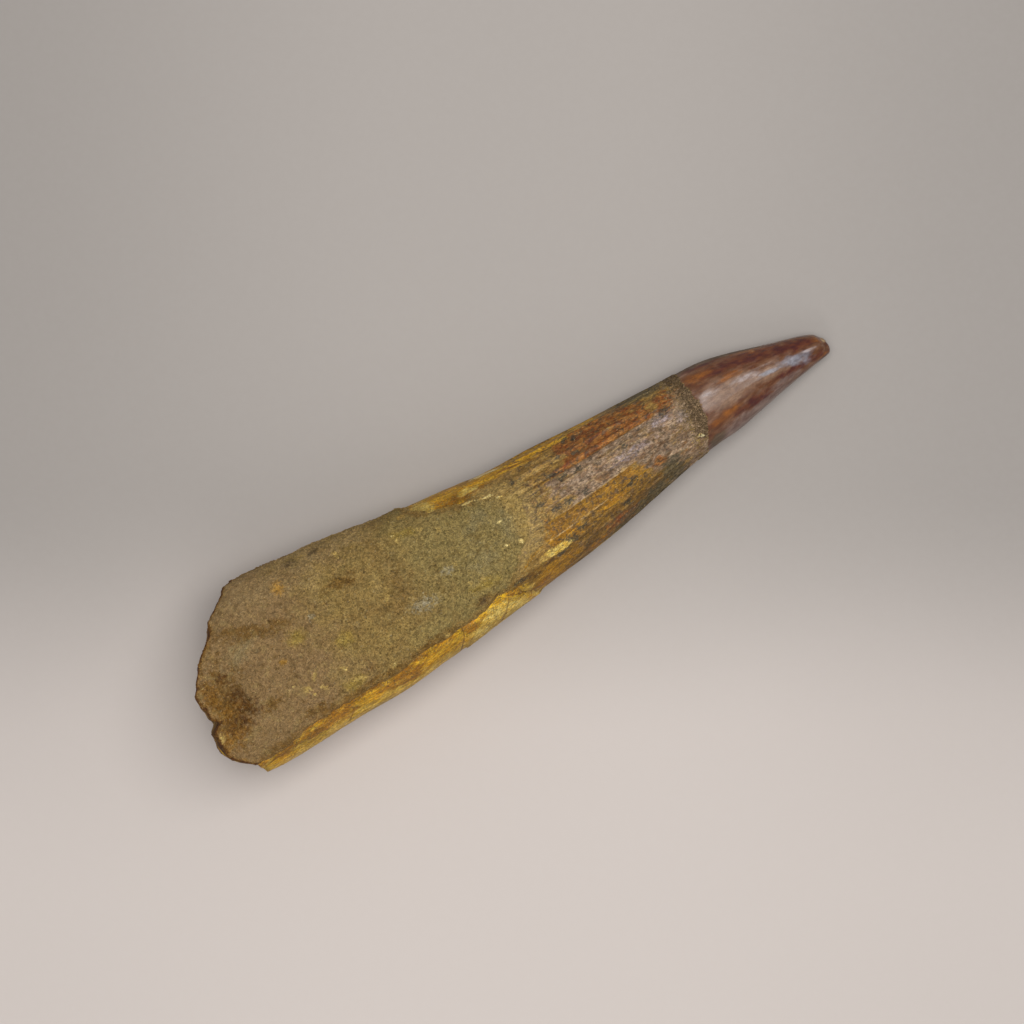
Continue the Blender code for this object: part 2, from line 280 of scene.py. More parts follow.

# Soft ovals of colour on the sandstone, as spots() reads them; the dark spots in the hollow and at the
# broken end are partly painted shade
CRUST_SPOTS = {
    "amber": [
        (-34.4, 9.3, 0.8, 0.95), (-39.4, -0.5, 0.5, 0.4),
    ],
    "ochre": [
        (-36.5, -4.7, 0.9, 0.25, 45), (-38.4, -5.9, 0.6, 0.4, 20), (-36.2, -6.8, 0.6, 0.28, -50),
        (-32.2, -5.9, 0.5, 0.22, -45), (-31.0, -8.3, 0.8, 0.3, -20), (-25.6, -9.3, 0.45, 0.18, 30),
        (-24.5, 8.5, 0.5, 0.3, 120), (-15.6, 5.8, 0.5, 0.3, 30), (-12.0, 5.8, 0.5, 0.3, -20),
        (-9.7, 4.1, 0.35, 0.3), (-10.1, -1.4, 0.25, 0.2), (-9.7, -5.2, 0.3, 0.3), (-7.8, -5.4, 0.3, 0.25),
        (-16.7, -9.8, 0.4, 0.3), (-21.2, -0.4, 0.8, 0.2, 40), (-53.0, -5.2, 0.6, 0.35, 60),
    ],
    "flakes": [
        (-3.9, 5.2, 0.9, 0.2, -5), (-0.9, 4.6, 1.3, 0.2, -10), (0.6, 3.6, 0.5, 0.25, -15),
        (-2.3, -3.1, 0.35, 0.16, -25), (0.0, -3.7, 0.3, 0.38, 10), (-1.3, 0.3, 0.5, 0.12),
        (-37.9, -7.0, 0.25, 0.2), (-40.0, -4.4, 0.2, 0.15), (-32.1, -6.1, 0.22, 0.14, -45),
        (-16.0, 6.8, 0.2, 0.15), (-25.5, -9.2, 0.3, 0.12, 30),
    ],
    "chalky": [
        (-17.3, -4.1, 1.8, 0.8, -10), (-11.8, -1.7, 0.8, 0.5), (-32.3, 3.1, 0.5, 0.3),
    ],
    "blue": [
        (-4.3, 2.1, 2.2, 1.0, 20), (-0.6, -0.6, 1.3, 2.2), (-6.0, -3.0, 2.0, 1.6),
        (-44.2, 3.7, 2.6, 1.2, 15),
    ],
    "yellow": [
        (-35.8, 1.4, 1.3, 1.1), (-29.7, -2.3, 1.3, 0.9), (-8.0, -6.4, 2.2, 0.7), (-32.0, -8.6, 1.6, 0.8),
        (-14.5, 6.5, 1.6, 0.6, -20),
    ],
    "grey": [
        (-27.3, 10.7, 0.75, 0.42, -5), (-31.2, 11.2, 0.8, 0.5), (-5.1, 5.2, 0.4, 0.25),
        (-9.4, -8.4, 0.9, 0.5),
    ],
    # dark brown in the hollow: partly painted shade
    "hollow": [
        (-47.3, -3.3, 1.5, 1.2), (-49.6, -4.9, 2.0, 0.8, -10), (-47.9, -1.4, 1.0, 1.2),
        (-48.3, 1.9, 0.8, 0.6), (-52.7, -3.2, 0.9, 0.7, -20),
    ],
    "golden": [
        (-51.6, -6.0, 2.2, 1.5, 15), (-50.2, -2.8, 1.4, 1.2, 60), (-51.2, 0.6, 1.2, 2.0),
    ],
    "stain": [
        (-43.6, -4.9, 1.6, 0.7), (-38.7, -9.2, 2.2, 0.8, -5), (-42.3, 6.6, 3.4, 0.6, -20),
        (-9.2, -8.3, 1.4, 0.6, 5), (-49.5, -1.0, 5.4, 2.4, 75), (-30.0, -9.9, 6.0, 0.5),
        (-46.0, -10.6, 3.0, 0.6), (-19.0, -9.5, 4.0, 0.5, 3), (-36.5, 4.6, 1.6, 0.6, -30),
        (-48.5, 7.0, 2.6, 0.8, 40), (-26.0, 5.0, 2.2, 0.7, -8), (-40.5, 5.2, 4.0, 0.8, -16),
    ],
    # painted shade in the notch of the broken end
    "brink_and_shade": [
        (-53.0, -3.2, 0.55, 0.5),
    ],
}

# Colours that streak the hidden back: their level, how far they vary, and which streaks they follow
BACK_STAINS = {
    "orange": (0.42, 0.8, 2),
    "pale": (0.22, 0.7, 3),
    "brown": (0.28, 0.8, 4),
    "gold": (0.35, 0.7, 1),
    "red": (0.40, 0.8, 0),
    "purple_and_sheen": (0.40, 0.8, 5),
    "tip_pale_and_highlight": (0.35, 0.6, 1),
    "tip_orange": (0.30, 0.8, 2),
    "tip_dark_and_shade": (0.25, 0.7, 3),
}
CROWN_COLOURS = ("gold", "red", "purple_and_sheen")
TIP_COLOURS = ("tip_pale_and_highlight", "tip_orange", "tip_dark_and_shade")


def ramp(value, low, high):
    """0 below low, 1 above high, smooth between."""
    t = np.clip((value - low) / (high - low), 0.0, 1.0)
    return t * t * (3.0 - 2.0 * t)


def fade(value, low, high):
    """1 below low, 0 above high, smooth between."""
    return 1.0 - ramp(value, low, high)


def bump(value, centre, reach):
    """1 at the centre, falling smoothly to 0 at the reach on either side."""
    return fade(np.abs(value - centre), 0.0, reach)


def blend(a, b, share):
    return a + (b - a) * share


def lump(x, y, z, size):
    """Smooth noise between about -1 and 1 with lumps of the given size, as the solids have it."""
    x, y, z = np.broadcast_arrays(x, y, z)
    points = np.stack([x.ravel(), y.ravel(), z.ravel()], -1) / size
    return np.array([noise.noise(p) for p in points]).reshape(x.shape)


def lattice(ix, iy, iz, seed):
    """A repeatable value between -1 and 1 for each whole-numbered place."""
    mixed = ix * 374761393 + iy * 668265263 + iz * 1440662683 + seed * 974634777
    mixed = (mixed ^ (mixed >> 13)) * 1274126177
    mixed = mixed & 0xFFFFFFFF
    mixed = (mixed ^ (mixed >> 16)) & 0xFFFF
    return mixed / 32767.5 - 1.0


def grain(x, y, z, size, seed=0):
    """Smooth noise between -1 and 1, quick on large arrays; size may differ by axis."""
    sizes = np.broadcast_to(np.asarray(size, float), (3,))
    parts = [np.asarray(v, float) / s + 100.0 for v, s in zip((x, y, z), sizes)]
    whole = [np.floor(v).astype(np.int64) for v in parts]
    t = [v - w for v, w in zip(parts, whole)]
    t = [v * v * v * (v * (v * 6.0 - 15.0) + 10.0) for v in t]
    total = 0.0
    for dx in (0, 1):
        for dy in (0, 1):
            for dz in (0, 1):
                weight = (t[0] if dx else 1 - t[0]) * (t[1] if dy else 1 - t[1])
                weight = weight * (t[2] if dz else 1 - t[2])
                total = total + weight * lattice(whole[0] + dx, whole[1] + dy, whole[2] + dz, seed)
    return total


def rough(x, y, z, size, octaves=3, seed=0):
    """Several sizes of noise added, each half as large and half as strong as the last."""
    total = 0.0
    strength = 1.0
    sizes = np.broadcast_to(np.asarray(size, float), (3,))
    for k in range(octaves):
        total = total + strength * grain(x, y, z, sizes / 2 ** k, seed + 17 * k)
        strength *= 0.5
    return total / (2.0 - 2.0 * strength)


def slopes(column):
    x = STATIONS[:, 0]
    y = STATIONS[:, column]
    before = np.maximum(np.arange(len(x)) - 1, 0)
    after = np.minimum(np.arange(len(x)) + 1, len(x) - 1)
    return (y[after] - y[before]) / (x[after] - x[before])


def between(x, column):
    """A smooth curve through the stations, read at x."""
    at = STATIONS[:, 0]
    x = np.clip(x, at[0], at[-1])
    i = np.clip(np.searchsorted(at, x) - 1, 0, len(at) - 2)
    span = at[i + 1] - at[i]
    t = (x - at[i]) / span
    slope = slopes(column)
    values = STATIONS[:, column]
    return (
        values[i] * (2 * t ** 3 - 3 * t ** 2 + 1)
        + slope[i] * span * (t ** 3 - 2 * t ** 2 + t)
        + values[i + 1] * (3 * t ** 2 - 2 * t ** 3)
        + slope[i + 1] * span * (t ** 3 - t ** 2)
    )


def section(x):
    """Middle y, half width, half thickness, squareness and middle z of the tooth at x."""
    upper = between(x, 1)
    lower = between(x, 2)
    thick = between(x, 3)
    middle = thick * BELLY_PRESS + TIP_LIFT * ramp(x, 10.0, TIP_END)
    return (upper + lower) / 2, (upper - lower) / 2, thick, between(x, 4), middle


def radius(angle, wide, thick, square):
    across = (np.abs(np.cos(angle)) / wide) ** square
    through = (np.abs(np.sin(angle)) / thick) ** square
    return (across + through) ** (-1.0 / square)


def broken_end(y, z):
    """x of the broken face: the back stands out further than the front edge."""
    _, _, thick, _, middle = section(np.array(ROOT_END))
    front = np.maximum(0.0, (z - middle) / thick)
    lean = 0.5 + 0.8 * ramp(y, 5.0, 9.0) + 0.8 * bump(y, -6.2, 5.0)
    notch = NOTCH_DEEP * bump(y, NOTCH_AT, NOTCH_REACH) * ramp(front, 0.1, 0.7)
    upper = ramp(y, 2.0, 6.0)
    jagged = 0.5 * lump(3.0, y, z, 2.6) * (1.0 - 0.6 * upper) + 0.22 * rough(3.0, y, z, 0.9, 3, 5)
    edge = np.interp(y, BROKEN_EDGE[:, 0], BROKEN_EDGE[:, 1])
    return edge + lean * front ** 1.5 + notch + jagged + 0.25 * upper


def ring_line(y):
    """How far the gritty ring lies back from its foremost point."""
    off = y + 0.5
    return np.where(off > 0, 0.02, 0.055) * off * off


def bare_form(place, angle):
    """The outer form without relief at rows of places and columns of angles: a dictionary of arrays."""
    x = place + 0.0 * angle
    settle = fade(x, ROOT_END, ROOT_END + 26.0)
    near_ring = bump(x, RING_AT, 7.0)
    start = x
    moved = settle > 0
    for _ in range(4):
        mid_y, wide, thick, square, mid_z = section(x)
        reach = radius(angle, wide, thick, square)
        y = mid_y + reach * np.cos(angle)
        z = mid_z + reach * np.sin(angle)
        shift = np.zeros_like(x)
        shift[moved] = (broken_end(y[moved], z[moved]) - ROOT_END) * settle[moved]
        x = start + shift - ring_line(y) * near_ring
    return {
        "x": x, "y": y, "z": z, "mid_y": mid_y, "mid_z": mid_z, "reach": reach,
        "wide": wide, "thick": thick, "angle": angle + 0.0 * x, "place": start,
    }


def placed(form, raised):
    """The form's points moved out from the middle line, keeping to the broken face near the end."""
    reach = form["reach"] + raised
    y = form["mid_y"] + reach * np.cos(form["angle"])
    z = form["mid_z"] + reach * np.sin(form["angle"])
    x = form["x"].copy()
    by_end = (form["place"] < ROOT_END + END_REACH) & (form["reach"] - reach > END_SUNK)
    follow = fade(form["place"][by_end], ROOT_END, ROOT_END + END_REACH)
    bare = broken_end(form["y"][by_end], form["z"][by_end])
    x[by_end] += np.clip(broken_end(y[by_end], z[by_end]) - bare, -3.0, 3.0) * follow
    return np.stack([x, y, np.maximum(z, 0.0)], -1)


def border_loop():
    """The sandstone's border as a smooth closed loop."""
    points = np.array(CRUST_BORDER)
    loop = []
    for i in range(len(points)):
        a, b, c, d = (points[(i + k) % len(points)] for k in (-1, 0, 1, 2))
        inside = b[0] > -50.0 and c[0] > -50.0 and c[1] < 10.0
        steps = 4 if inside else 1
        for k in range(steps):
            t = k / steps
            curve = (
                b * 2
                + (c - a) * t
                + (a * 2 - b * 5 + c * 4 - d) * t ** 2
                + (b * 3 - a - c * 3 + d) * t ** 3
            )
            loop.append(curve / 2)
    return np.array(loop)


def from_segment(x, y, a, b):
    """How far points lie from the nearest point of a segment, along x and along y."""
    ex, ey = b[0] - a[0], b[1] - a[1]
    t = np.clip(((x - a[0]) * ex + (y - a[1]) * ey) / (ex * ex + ey * ey), 0, 1)
    return x - a[0] - t * ex, y - a[1] - t * ey


def distance_inside(x, y, loop):
    """Distance to a closed loop, positive inside it."""
    shape = x.shape
    x = x.ravel()
    y = y.ravel()
    nearest = np.full(x.shape, 1e9)
    inside = np.zeros(x.shape, bool)
    for a, b in zip(loop, np.roll(loop, -1, 0)):
        dx, dy = from_segment(x, y, a, b)
        nearest = np.minimum(nearest, dx ** 2 + dy ** 2)
        crosses = (a[1] > y) != (b[1] > y)
        with np.errstate(divide="ignore", invalid="ignore"):
            inside ^= crosses & (x < a[0] + (b[0] - a[0]) * (y - a[1]) / (b[1] - a[1]))
    return np.where(inside, 1.0, -1.0).reshape(shape) * np.sqrt(nearest).reshape(shape)


def crust_inside(form, loop):
    """Distance inside the sandstone's ragged border: over the front, and down over the upper edge."""
    x, y, z = form["x"], form["y"], form["z"]
    wander = 0.30 * rough(x, y, z, 2.4, 3, 21)
    on_front = distance_inside(x + wander, y + 0.8 * wander, loop) + 0.20 * rough(x, y, z, 0.9, 3, 24)
    wrap = z - (form["mid_z"] - CRUST_WRAP) + 1.2 * rough(x, y, z, (7.0, 4.0, 4.0), 3, 22)
    return np.minimum(on_front, wrap)


def thinned(form):
    """1 where the sandstone thins out to a film: on its tongue, and beside the golden band."""
    x, y = form["x"], form["y"]
    by_band = ramp(x, -20.0, -13.0) * ramp(y, 4.0, 7.5)
    return facing(form) * np.maximum(ramp(x, -7.0, 0.0), by_band)


def bed_depth(form, crust):
    """How deep the tooth is sunk where the sandstone lies on it."""
    return (CRUST_THICK + 0.25) * ramp(crust - 1.6 * thinned(form), 0.05, 0.9)


def past_ring(form):
    """Distance beyond the gritty ring's uneven front edge."""
    x, y, z = form["x"], form["y"], form["z"]
    return x + ring_line(y) - RING_AT + 0.36 * rough(x, y, z, 1.2, 4, 23)


def ring_left(form):
    """How much of the gritty ring is left: on the front it fades out towards the lower edge."""
    return 1.0 - 0.9 * facing(form) * ramp(-form["y"], 3.6, 6.2)


def crack_side(x, y):
    """Distance from the nearest crack, positive on one side of it, and where that crack is open."""
    best = np.full(x.shape, 1e9)
    side = np.zeros(x.shape)
    for line in CRACKS:
        for a, b in zip(line, line[1:]):
            away = np.hypot(*from_segment(x, y, a, b))
            ex, ey = b[0] - a[0], b[1] - a[1]
            turn = ((x - a[0]) * ey - (y - a[1]) * ex) / math.hypot(ex, ey)
            nearer = away < best
            best = np.where(nearer, away, best)
            side = np.where(nearer, turn, side)
    return side, fade(best, 0.25, 0.6)


def facing(form):
    """1 on the front, 0 on the back."""
    return ramp((form["z"] - form["mid_z"]) / form["thick"], -0.15, 0.15)


def ridge_profile(form):
    """Across the flutes: 1 on a ridge and 0 mid-flute, the ridge's number, and mm from its line."""
    front = [row[0] for row in FRONT_RIDGES]
    step = (360.0 + front[0] - front[-1]) / (BACK_RIDGES + 1)
    back = [front[-1] + step * (k + 1) + 3.0 * math.sin((k + 1) * 2.4) for k in range(BACK_RIDGES)]
    ridges = np.array(front + back + [front[0] + 360.0])
    sway = 1.6 * grain(form["x"], form["y"], form["z"], (11.0, 8.0, 8.0), 31)
    degrees = (np.degrees(form["angle"]) + sway - ridges[0]) % 360.0 + ridges[0]
    i = np.clip(np.searchsorted(ridges, degrees, side="right") - 1, 0, len(ridges) - 2)
    t = (degrees - ridges[i]) / (ridges[i + 1] - ridges[i])
    across = np.abs(2.0 * t - 1.0)
    nearest = np.where(t > 0.5, i + 1, i)
    away = np.radians(degrees - ridges[nearest]) * form["reach"]
    return across, nearest % (len(ridges) - 1), away


def flute_count(form):
    """The flute each point lies in: a half past the number of the ridge before it."""
    _, number, away = ridge_profile(form)
    count = number + np.where(away >= 0, 0.5, -0.5)
    last = len(FRONT_RIDGES) + BACK_RIDGES - 0.5
    return np.where(count == last, -0.5, count)


def flute_zone(form, name):
    """The named zone of colour, 0 to 1, stopping short at the ridges beside its flute."""
    count = flute_count(form)
    mask = np.zeros_like(form["x"])
    for flute, first, last in FLUTE_ZONES[name]:
        inside = 0.5 + 0.3 * np.minimum(form["x"] - first, last - form["x"])
        mask = np.maximum(mask, np.where(count == flute, np.minimum(inside, 0.8), 0.0))
    return mask


def ridge_lines(form, number):
    """How strongly each ridge's painted line shows, and its tone: painted shade at 0, painted highlight
    at 1.
    """
    x = form["x"]
    shows = 0.35 * ramp(x, 3.0, 7.0) * fade(x, 22.0, 28.0)
    bright = 0.5 + 0.4 * np.sin(number * 1.7)
    for k, (_, first, last, tone) in enumerate(FRONT_RIDGES):
        here = number == k
        part = ramp(x, first - 0.6, first + 0.6) * fade(x, last - 0.8, last + 0.8)
        shows = np.where(here, part, shows)
        bright = np.where(here, tone, bright)
    return shows, bright


def tooth_relief(form, crust):
    """Everything that stands out of or is sunk into the tooth's bare form, in mm."""
    x, y, z, angle = form["x"], form["y"], form["z"], form["angle"]
    from_ring = past_ring(form)
    front = facing(form)
    fluted = ramp(x, FLUTES_FROM - 1.0, FLUTES_FROM + 6.0) * fade(x, FLUTES_TO - 9.0, FLUTES_TO)
    across, number, _ = ridge_profile(form)
    each = 0.75 + 0.5 * grain(x, number * 3.7, 0.0 * x, (9.0, 1.0, 1.0), 33)
    flutes = FLUTE_DEPTH * (across ** 2.2 - 0.4) + 0.10 * ramp(across, 0.84, 1.0)
    tip_flutes = 0.035 * (across ** 2.0 - 0.4) * ramp(x, 35.5, 38.0) * fade(x, 46.0, 52.0)
    rooted = fade(x, -4.0, 4.0)
    round_y = np.cos(angle)
    round_z = np.sin(angle)
    streaks = 0.22 * lump(x / 22.0, round_y * 3.2, round_z * 3.2, 1.0)
    dents = 0.30 * lump(x, y, z, 9.0)
    fibres = 0.09 * rough(x, round_y * 10, round_z * 10, (8.0, 0.8, 0.8), 3, 35)
    chips = -0.35 * ramp(rough(x, y, z, (6.0, 3.0, 3.0), 3, 36), 0.38, 0.44) * (1.0 - front)
    outlined = front * ramp(np.abs(y - form["mid_y"]) / form["wide"], 0.70, 0.95)
    left = ring_left(form) * (1.0 - 0.8 * outlined)
    ring = RING_PROUD * left * ramp(from_ring, -RING_WIDTH - 1.0, -0.5) * fade(from_ring, -0.4, 0.3)
    ring_grit = 0.11 * left * rough(x, y, z, 0.8, 3, 37) * bump(from_ring, -RING_WIDTH / 2, RING_WIDTH)
    ledge = RING_LEDGE * ramp(from_ring, -0.15, 0.35) * fade(x, 36.0, 44.0) * (1.0 - outlined)
    gnaw = 0.12 * rough(x, y, z, 1.1, 3, 38) * bump(from_ring, 0.0, 0.7)
    flake = 0.32 * ramp(distance_inside(x, y, np.array(FLAKE)), -0.05, 0.30) * front
    side, opened = crack_side(x, y)
    cracks = -0.10 * fade(np.abs(side), 0.04, 0.30) * opened * front
    worn = 0.05 * rough(x, y, z, (3.0, 1.4, 1.4), 3, 39) * fade(x, 31.0, 34.0)
    glossy = 0.02 * rough(x, y, z, (5.0, 1.6, 1.6), 2, 40)
    surface = flutes * fluted * each + tip_flutes + (streaks + dents + fibres + chips) * rooted
    surface = surface + ring + ring_grit - ledge + gnaw + flake + cracks + worn + glossy
    surface = surface * ramp(TIP_END - x, -1.0, 3.0) - tip_chips(form)
    return surface * fade(crust - 1.5 * thinned(form), 0.1, 0.8) - bed_depth(form, crust)


def tip_chips(form):
    """Worn flats at the very tip."""
    x, y, z = form["x"], form["y"], form["z"]
    upper = 0.12 * ramp((x - 53.2) + 0.9 * (y + 1.4), 0.0, 1.1) * ramp(z - form["mid_z"], -0.6, 0.6)
    notch = 0.15 * bump(y, -2.7, 0.35) * ramp(x, 53.7, 54.5)
    return upper + notch + 0.06 * rough(x, y, z, 0.5, 2, 43) * ramp(x, 52.8, 54.3)


def crust_relief(form, crust):
    """Height of the sandstone over the bare form, in mm."""
    x, y, z = form["x"], form["y"], form["z"]
    broad = 0.55 * lump(x, y, z, 11.0) + 0.30 * lump(x, y, z, 4.2)
    across = (x + 48.0) * 0.97 - (y + 3.0) * 0.22
    along = (x + 48.0) * 0.22 + (y + 3.0) * 0.97
    across = across + 0.5 * rough(x, y, z, 3.2, 2, 56)
    away = np.hypot(across / np.where(across > 0, 2.1, 3.2), along / 4.9)
    hollow = 1.35 * fade(away + 0.30 * rough(x, y, z, 1.8, 3, 54), 0.10, 1.0)
    lip = 0.32 * bump(y, -5.4, 2.2) * fade(form["place"] - ROOT_END, 0.4, 2.0)
    fine = 0.12 * rough(x, y, z, 1.5, 3, 51) + 0.05 * rough(x, y, z, 0.55, 2, 52)
    pits = -0.16 * ramp(rough(x, y, z, 0.8, 2, 53), 0.42, 0.66)
    thin = thinned(form)
    film = blend(-0.14, 0.16, ramp(crust, -0.2, 2.6))
    film = film + 0.22 * rough(x, y, z, 1.2, 3, 55) * fade(crust, 1.0, 3.0)
    proud = blend(CRUST_PROUD * ramp(crust, 0.0, 0.7), film, thin)
    deep = ramp(crust, 0.0, 2.4)
    surface = proud + (broad * (1.0 - 0.6 * thin) - hollow) * deep
    surface = surface + (fine * (1.0 + 2.5 * ramp(hollow, 0.1, 0.8)) + pits) * ramp(crust, 0.0, 0.6) + lip
    return surface - 1.3 * ramp(-crust, 0.0, SKIRT)


def mesh_piece(name, points, faces, values, smooth=True):
    """A mesh object from points in mm, faces of equal or mixed length, and one value per point."""
    mesh = bpy.data.meshes.new(name)
    mesh.from_pydata((points * MM).tolist(), [], faces)
    mesh.update()
    for key, value in values.items():
        layer = mesh.attributes.new(key, "FLOAT", "POINT")
        layer.data.foreach_set("value", np.clip(value, 0.0, 1.0).astype(np.float32))
    bm = bmesh.new()
    bm.from_mesh(mesh)
    bmesh.ops.recalc_face_normals(bm, faces=bm.faces)
    bm.to_mesh(mesh)
    bm.free()
    if smooth:
        mesh.shade_smooth()
    thing = bpy.data.objects.new(name, mesh)
    bpy.context.scene.collection.objects.link(thing)
    return thing


def quads(rows, columns, first=0, wrap=False):
    """Faces of a grid of points stored row by row."""
    i, j = np.meshgrid(np.arange(rows - 1), np.arange(columns if wrap else columns - 1), indexing="ij")
    k = (j + 1) % columns
    corners = (i * columns + j, i * columns + k, (i + 1) * columns + k, (i + 1) * columns + j)
    return (np.stack([c.ravel() for c in corners], -1) + first).tolist()


def tooth_rows():
    """x of each ring of the tooth, closest at the gritty ring."""
    root = np.linspace(ROOT_END, 0.0, ROOT_ROWS, endpoint=False)
    crown = np.linspace(0.0, RING_ROWS_FROM, CROWN_ROWS, endpoint=False)
    ring = np.linspace(RING_ROWS_FROM, RING_ROWS_TO, RING_ROWS, endpoint=False)
    t = np.linspace(0.0, 1.0, TIP_ROWS)
    tip = RING_ROWS_TO + (TIP_END - RING_ROWS_TO) * (1.0 - (1.0 - t) ** 1.35)
    return np.concatenate([root, crown, ring, tip])


def tooth_angles(places):
    """Angles of the columns in each row: spread wide under the sandstone and close elsewhere."""
    fine = np.linspace(0.0, 2 * np.pi, 721)
    covered = ramp(np.degrees(fine), -15.0, 20.0) * fade(np.degrees(fine), 110.0, 140.0)
    thin = 1.0 - 0.72 * covered
    spread = np.concatenate([[0.0], np.cumsum((thin[1:] + thin[:-1]) / 2)])
    even = np.linspace(0.0, 1.0, TOOTH_COLUMNS, endpoint=False)
    bunched = np.interp(even, spread / spread[-1], fine)
    share = fade(places, -12.0, 4.0)[:, None]
    return blend(even[None, :] * 2 * np.pi, bunched[None, :], share)


def tooth_masks(form, crust):
    """Where each colour of the tooth lies, 0 to 1 with its edge at a half."""
    x, y, z = form["x"], form["y"], form["z"]
    front = facing(form)
    back = 1.0 - front
    width = (y - form["mid_y"]) / form["wide"]
    from_ring = past_ring(form)
    crown = ramp(x, -3.0, 3.0)
    streaks = [rough(x, y, z, (12.0, 2.6, 2.6), 3, 60 + k) for k in range(6)]
    masks = {key: front * spots(x, y, places) for key, places in TOOTH_SPOTS.items()}
    for key, (level, change, which) in BACK_STAINS.items():
        part = crown if key in CROWN_COLOURS else 1.0
        stain = back * part * (level + change * streaks[which])
        masks[key] = np.maximum(masks[key], stain) if key in TIP_COLOURS else masks.get(key, 0.0) + stain
    lower_edge = 0.5 - 0.35 * (x + 1.5 + 9.0 * (width + 0.96))
    upper_edge = 0.5 + (-x - 2.0 - 10.0 * (0.9 - np.abs(width))) * 0.5
    root_front = np.where(width < 0, lower_edge, upper_edge)
    masks["root"] = blend(0.5 + (-x - 1.0 + 7.0 * streaks[0]) * 0.25, root_front, front)
    masks["olive"] = front * (0.5 + (-0.80 - width) * 5.0) * (x < 0) + back * (0.45 + 0.5 * streaks[1])
    gold_edge = np.minimum(0.5 + 7.0 * (width - 0.86), 0.5 + 0.3 * (10.3 - np.abs(x - 9.2)))
    gold_edge = gold_edge * (y > 0) * ramp(z, 4.0, 7.0)
    masks["bright_gold"] = np.maximum(masks["bright_gold"], gold_edge)
    for key in FLUTE_ZONES:
        masks[key] = np.maximum(masks[key], front * flute_zone(form, key))
    masks["dark"] += back * (0.12 + 0.9 * rough(x, y, z, (2.4, 1.1, 1.1), 3, 70))
    masks["grime"] += back * crown * (0.2 + 0.8 * rough(x, y, z, 6.0, 3, 71))
    upper_rim = ramp(x, 18.0, 24.0) * ramp(width, 0.84, 0.99) * (1.0 - 0.6 * ramp(x, 42.0, 50.0))
    lower_rim = bump(x, 17.0, 11.0) * ramp(-width, 0.86, 0.99)
    masks["grime"] = np.maximum(masks["grime"], 0.75 * np.maximum(upper_rim, lower_rim))
    ring = np.minimum(1.0 - from_ring * 2.0, 0.5 + (from_ring + RING_WIDTH) * 0.25)
    masks["ring"] = ring * ring_left(form)
    masks["tip"] = 0.5 + from_ring * 2.0
    # the painted highlight along the upper edge is kept to a band up its side
    masks["cream_and_highlight"] *= np.where(y > 5.0, bump(z - form["mid_z"], 1.9, 1.7), 1.0)
    side, opened = crack_side(x, y)
    masks["crack_side"] = 0.5 + side / LINE_SPAN
    masks["crack_open"] = opened * front
    masks["flake_side"] = 0.5 + distance_inside(x, y, np.array(FLAKE)) / LINE_SPAN
    # where the painted shade along the flake's edge shows
    masks["flake_shade_line"] = front * ramp(x, -14.5, -13.0) * ramp(y, -12.6, -11.8)
    _, number, away = ridge_profile(form)
    masks["ridge_side"] = 0.5 + away / LINE_SPAN
    masks["ridge_shows"], masks["ridge_shade_to_highlight"] = ridge_lines(form, number)
    masks["fluted"] = ramp(x, 0.0, 5.0) * fade(x, 27.0, 32.0)
    masks["flute_tone"] = 0.5 + 0.5 * np.sin(np.floor(flute_count(form)) * 2.3) * masks["fluted"]
    masks["sanded"] = ramp(crust, -2.4, 0.1) * front * ramp(x, -5.0, -1.0) * ramp(y, -8.0, -5.0)
    by_strip = ramp(-y, 7.8, 8.8)
    masks["sanded"] = np.maximum(masks["sanded"], 0.9 * front * ramp(crust, -0.6, 0.3) * (1.0 - by_strip))
    fringe = 0.66 * front * by_strip * bump(crust, -0.1, 1.2) * fade(x, -17.0, -12.0)
    fringe = fringe * (1.0 - 0.6 * bump(x, -18.5, 3.5))
    masks["orange"] = np.maximum(masks["orange"], fringe)
    masks["rooted"] = fade(x, -6.0, 2.0)
    for key in ("end", "core"):
        masks[key] = np.zeros_like(x)
    return masks


def spots(x, y, places):
    """Soft ovals, 1 in the middle and a half at the rim.

    Each is x, y, half length and half width, and where it is tilted, its tilt in degrees.
    """
    best = np.zeros_like(x)
    for px, py, long, short, *tilt in places:
        turn = math.radians(sum(tilt))
        c, s = math.cos(turn), math.sin(turn)
        dx, dy = x - px, y - py
        away = np.hypot((dx * c + dy * s) / long, (dy * c - dx * s) / short)
        best = np.maximum(best, 1.0 - 0.5 * away)
    return best


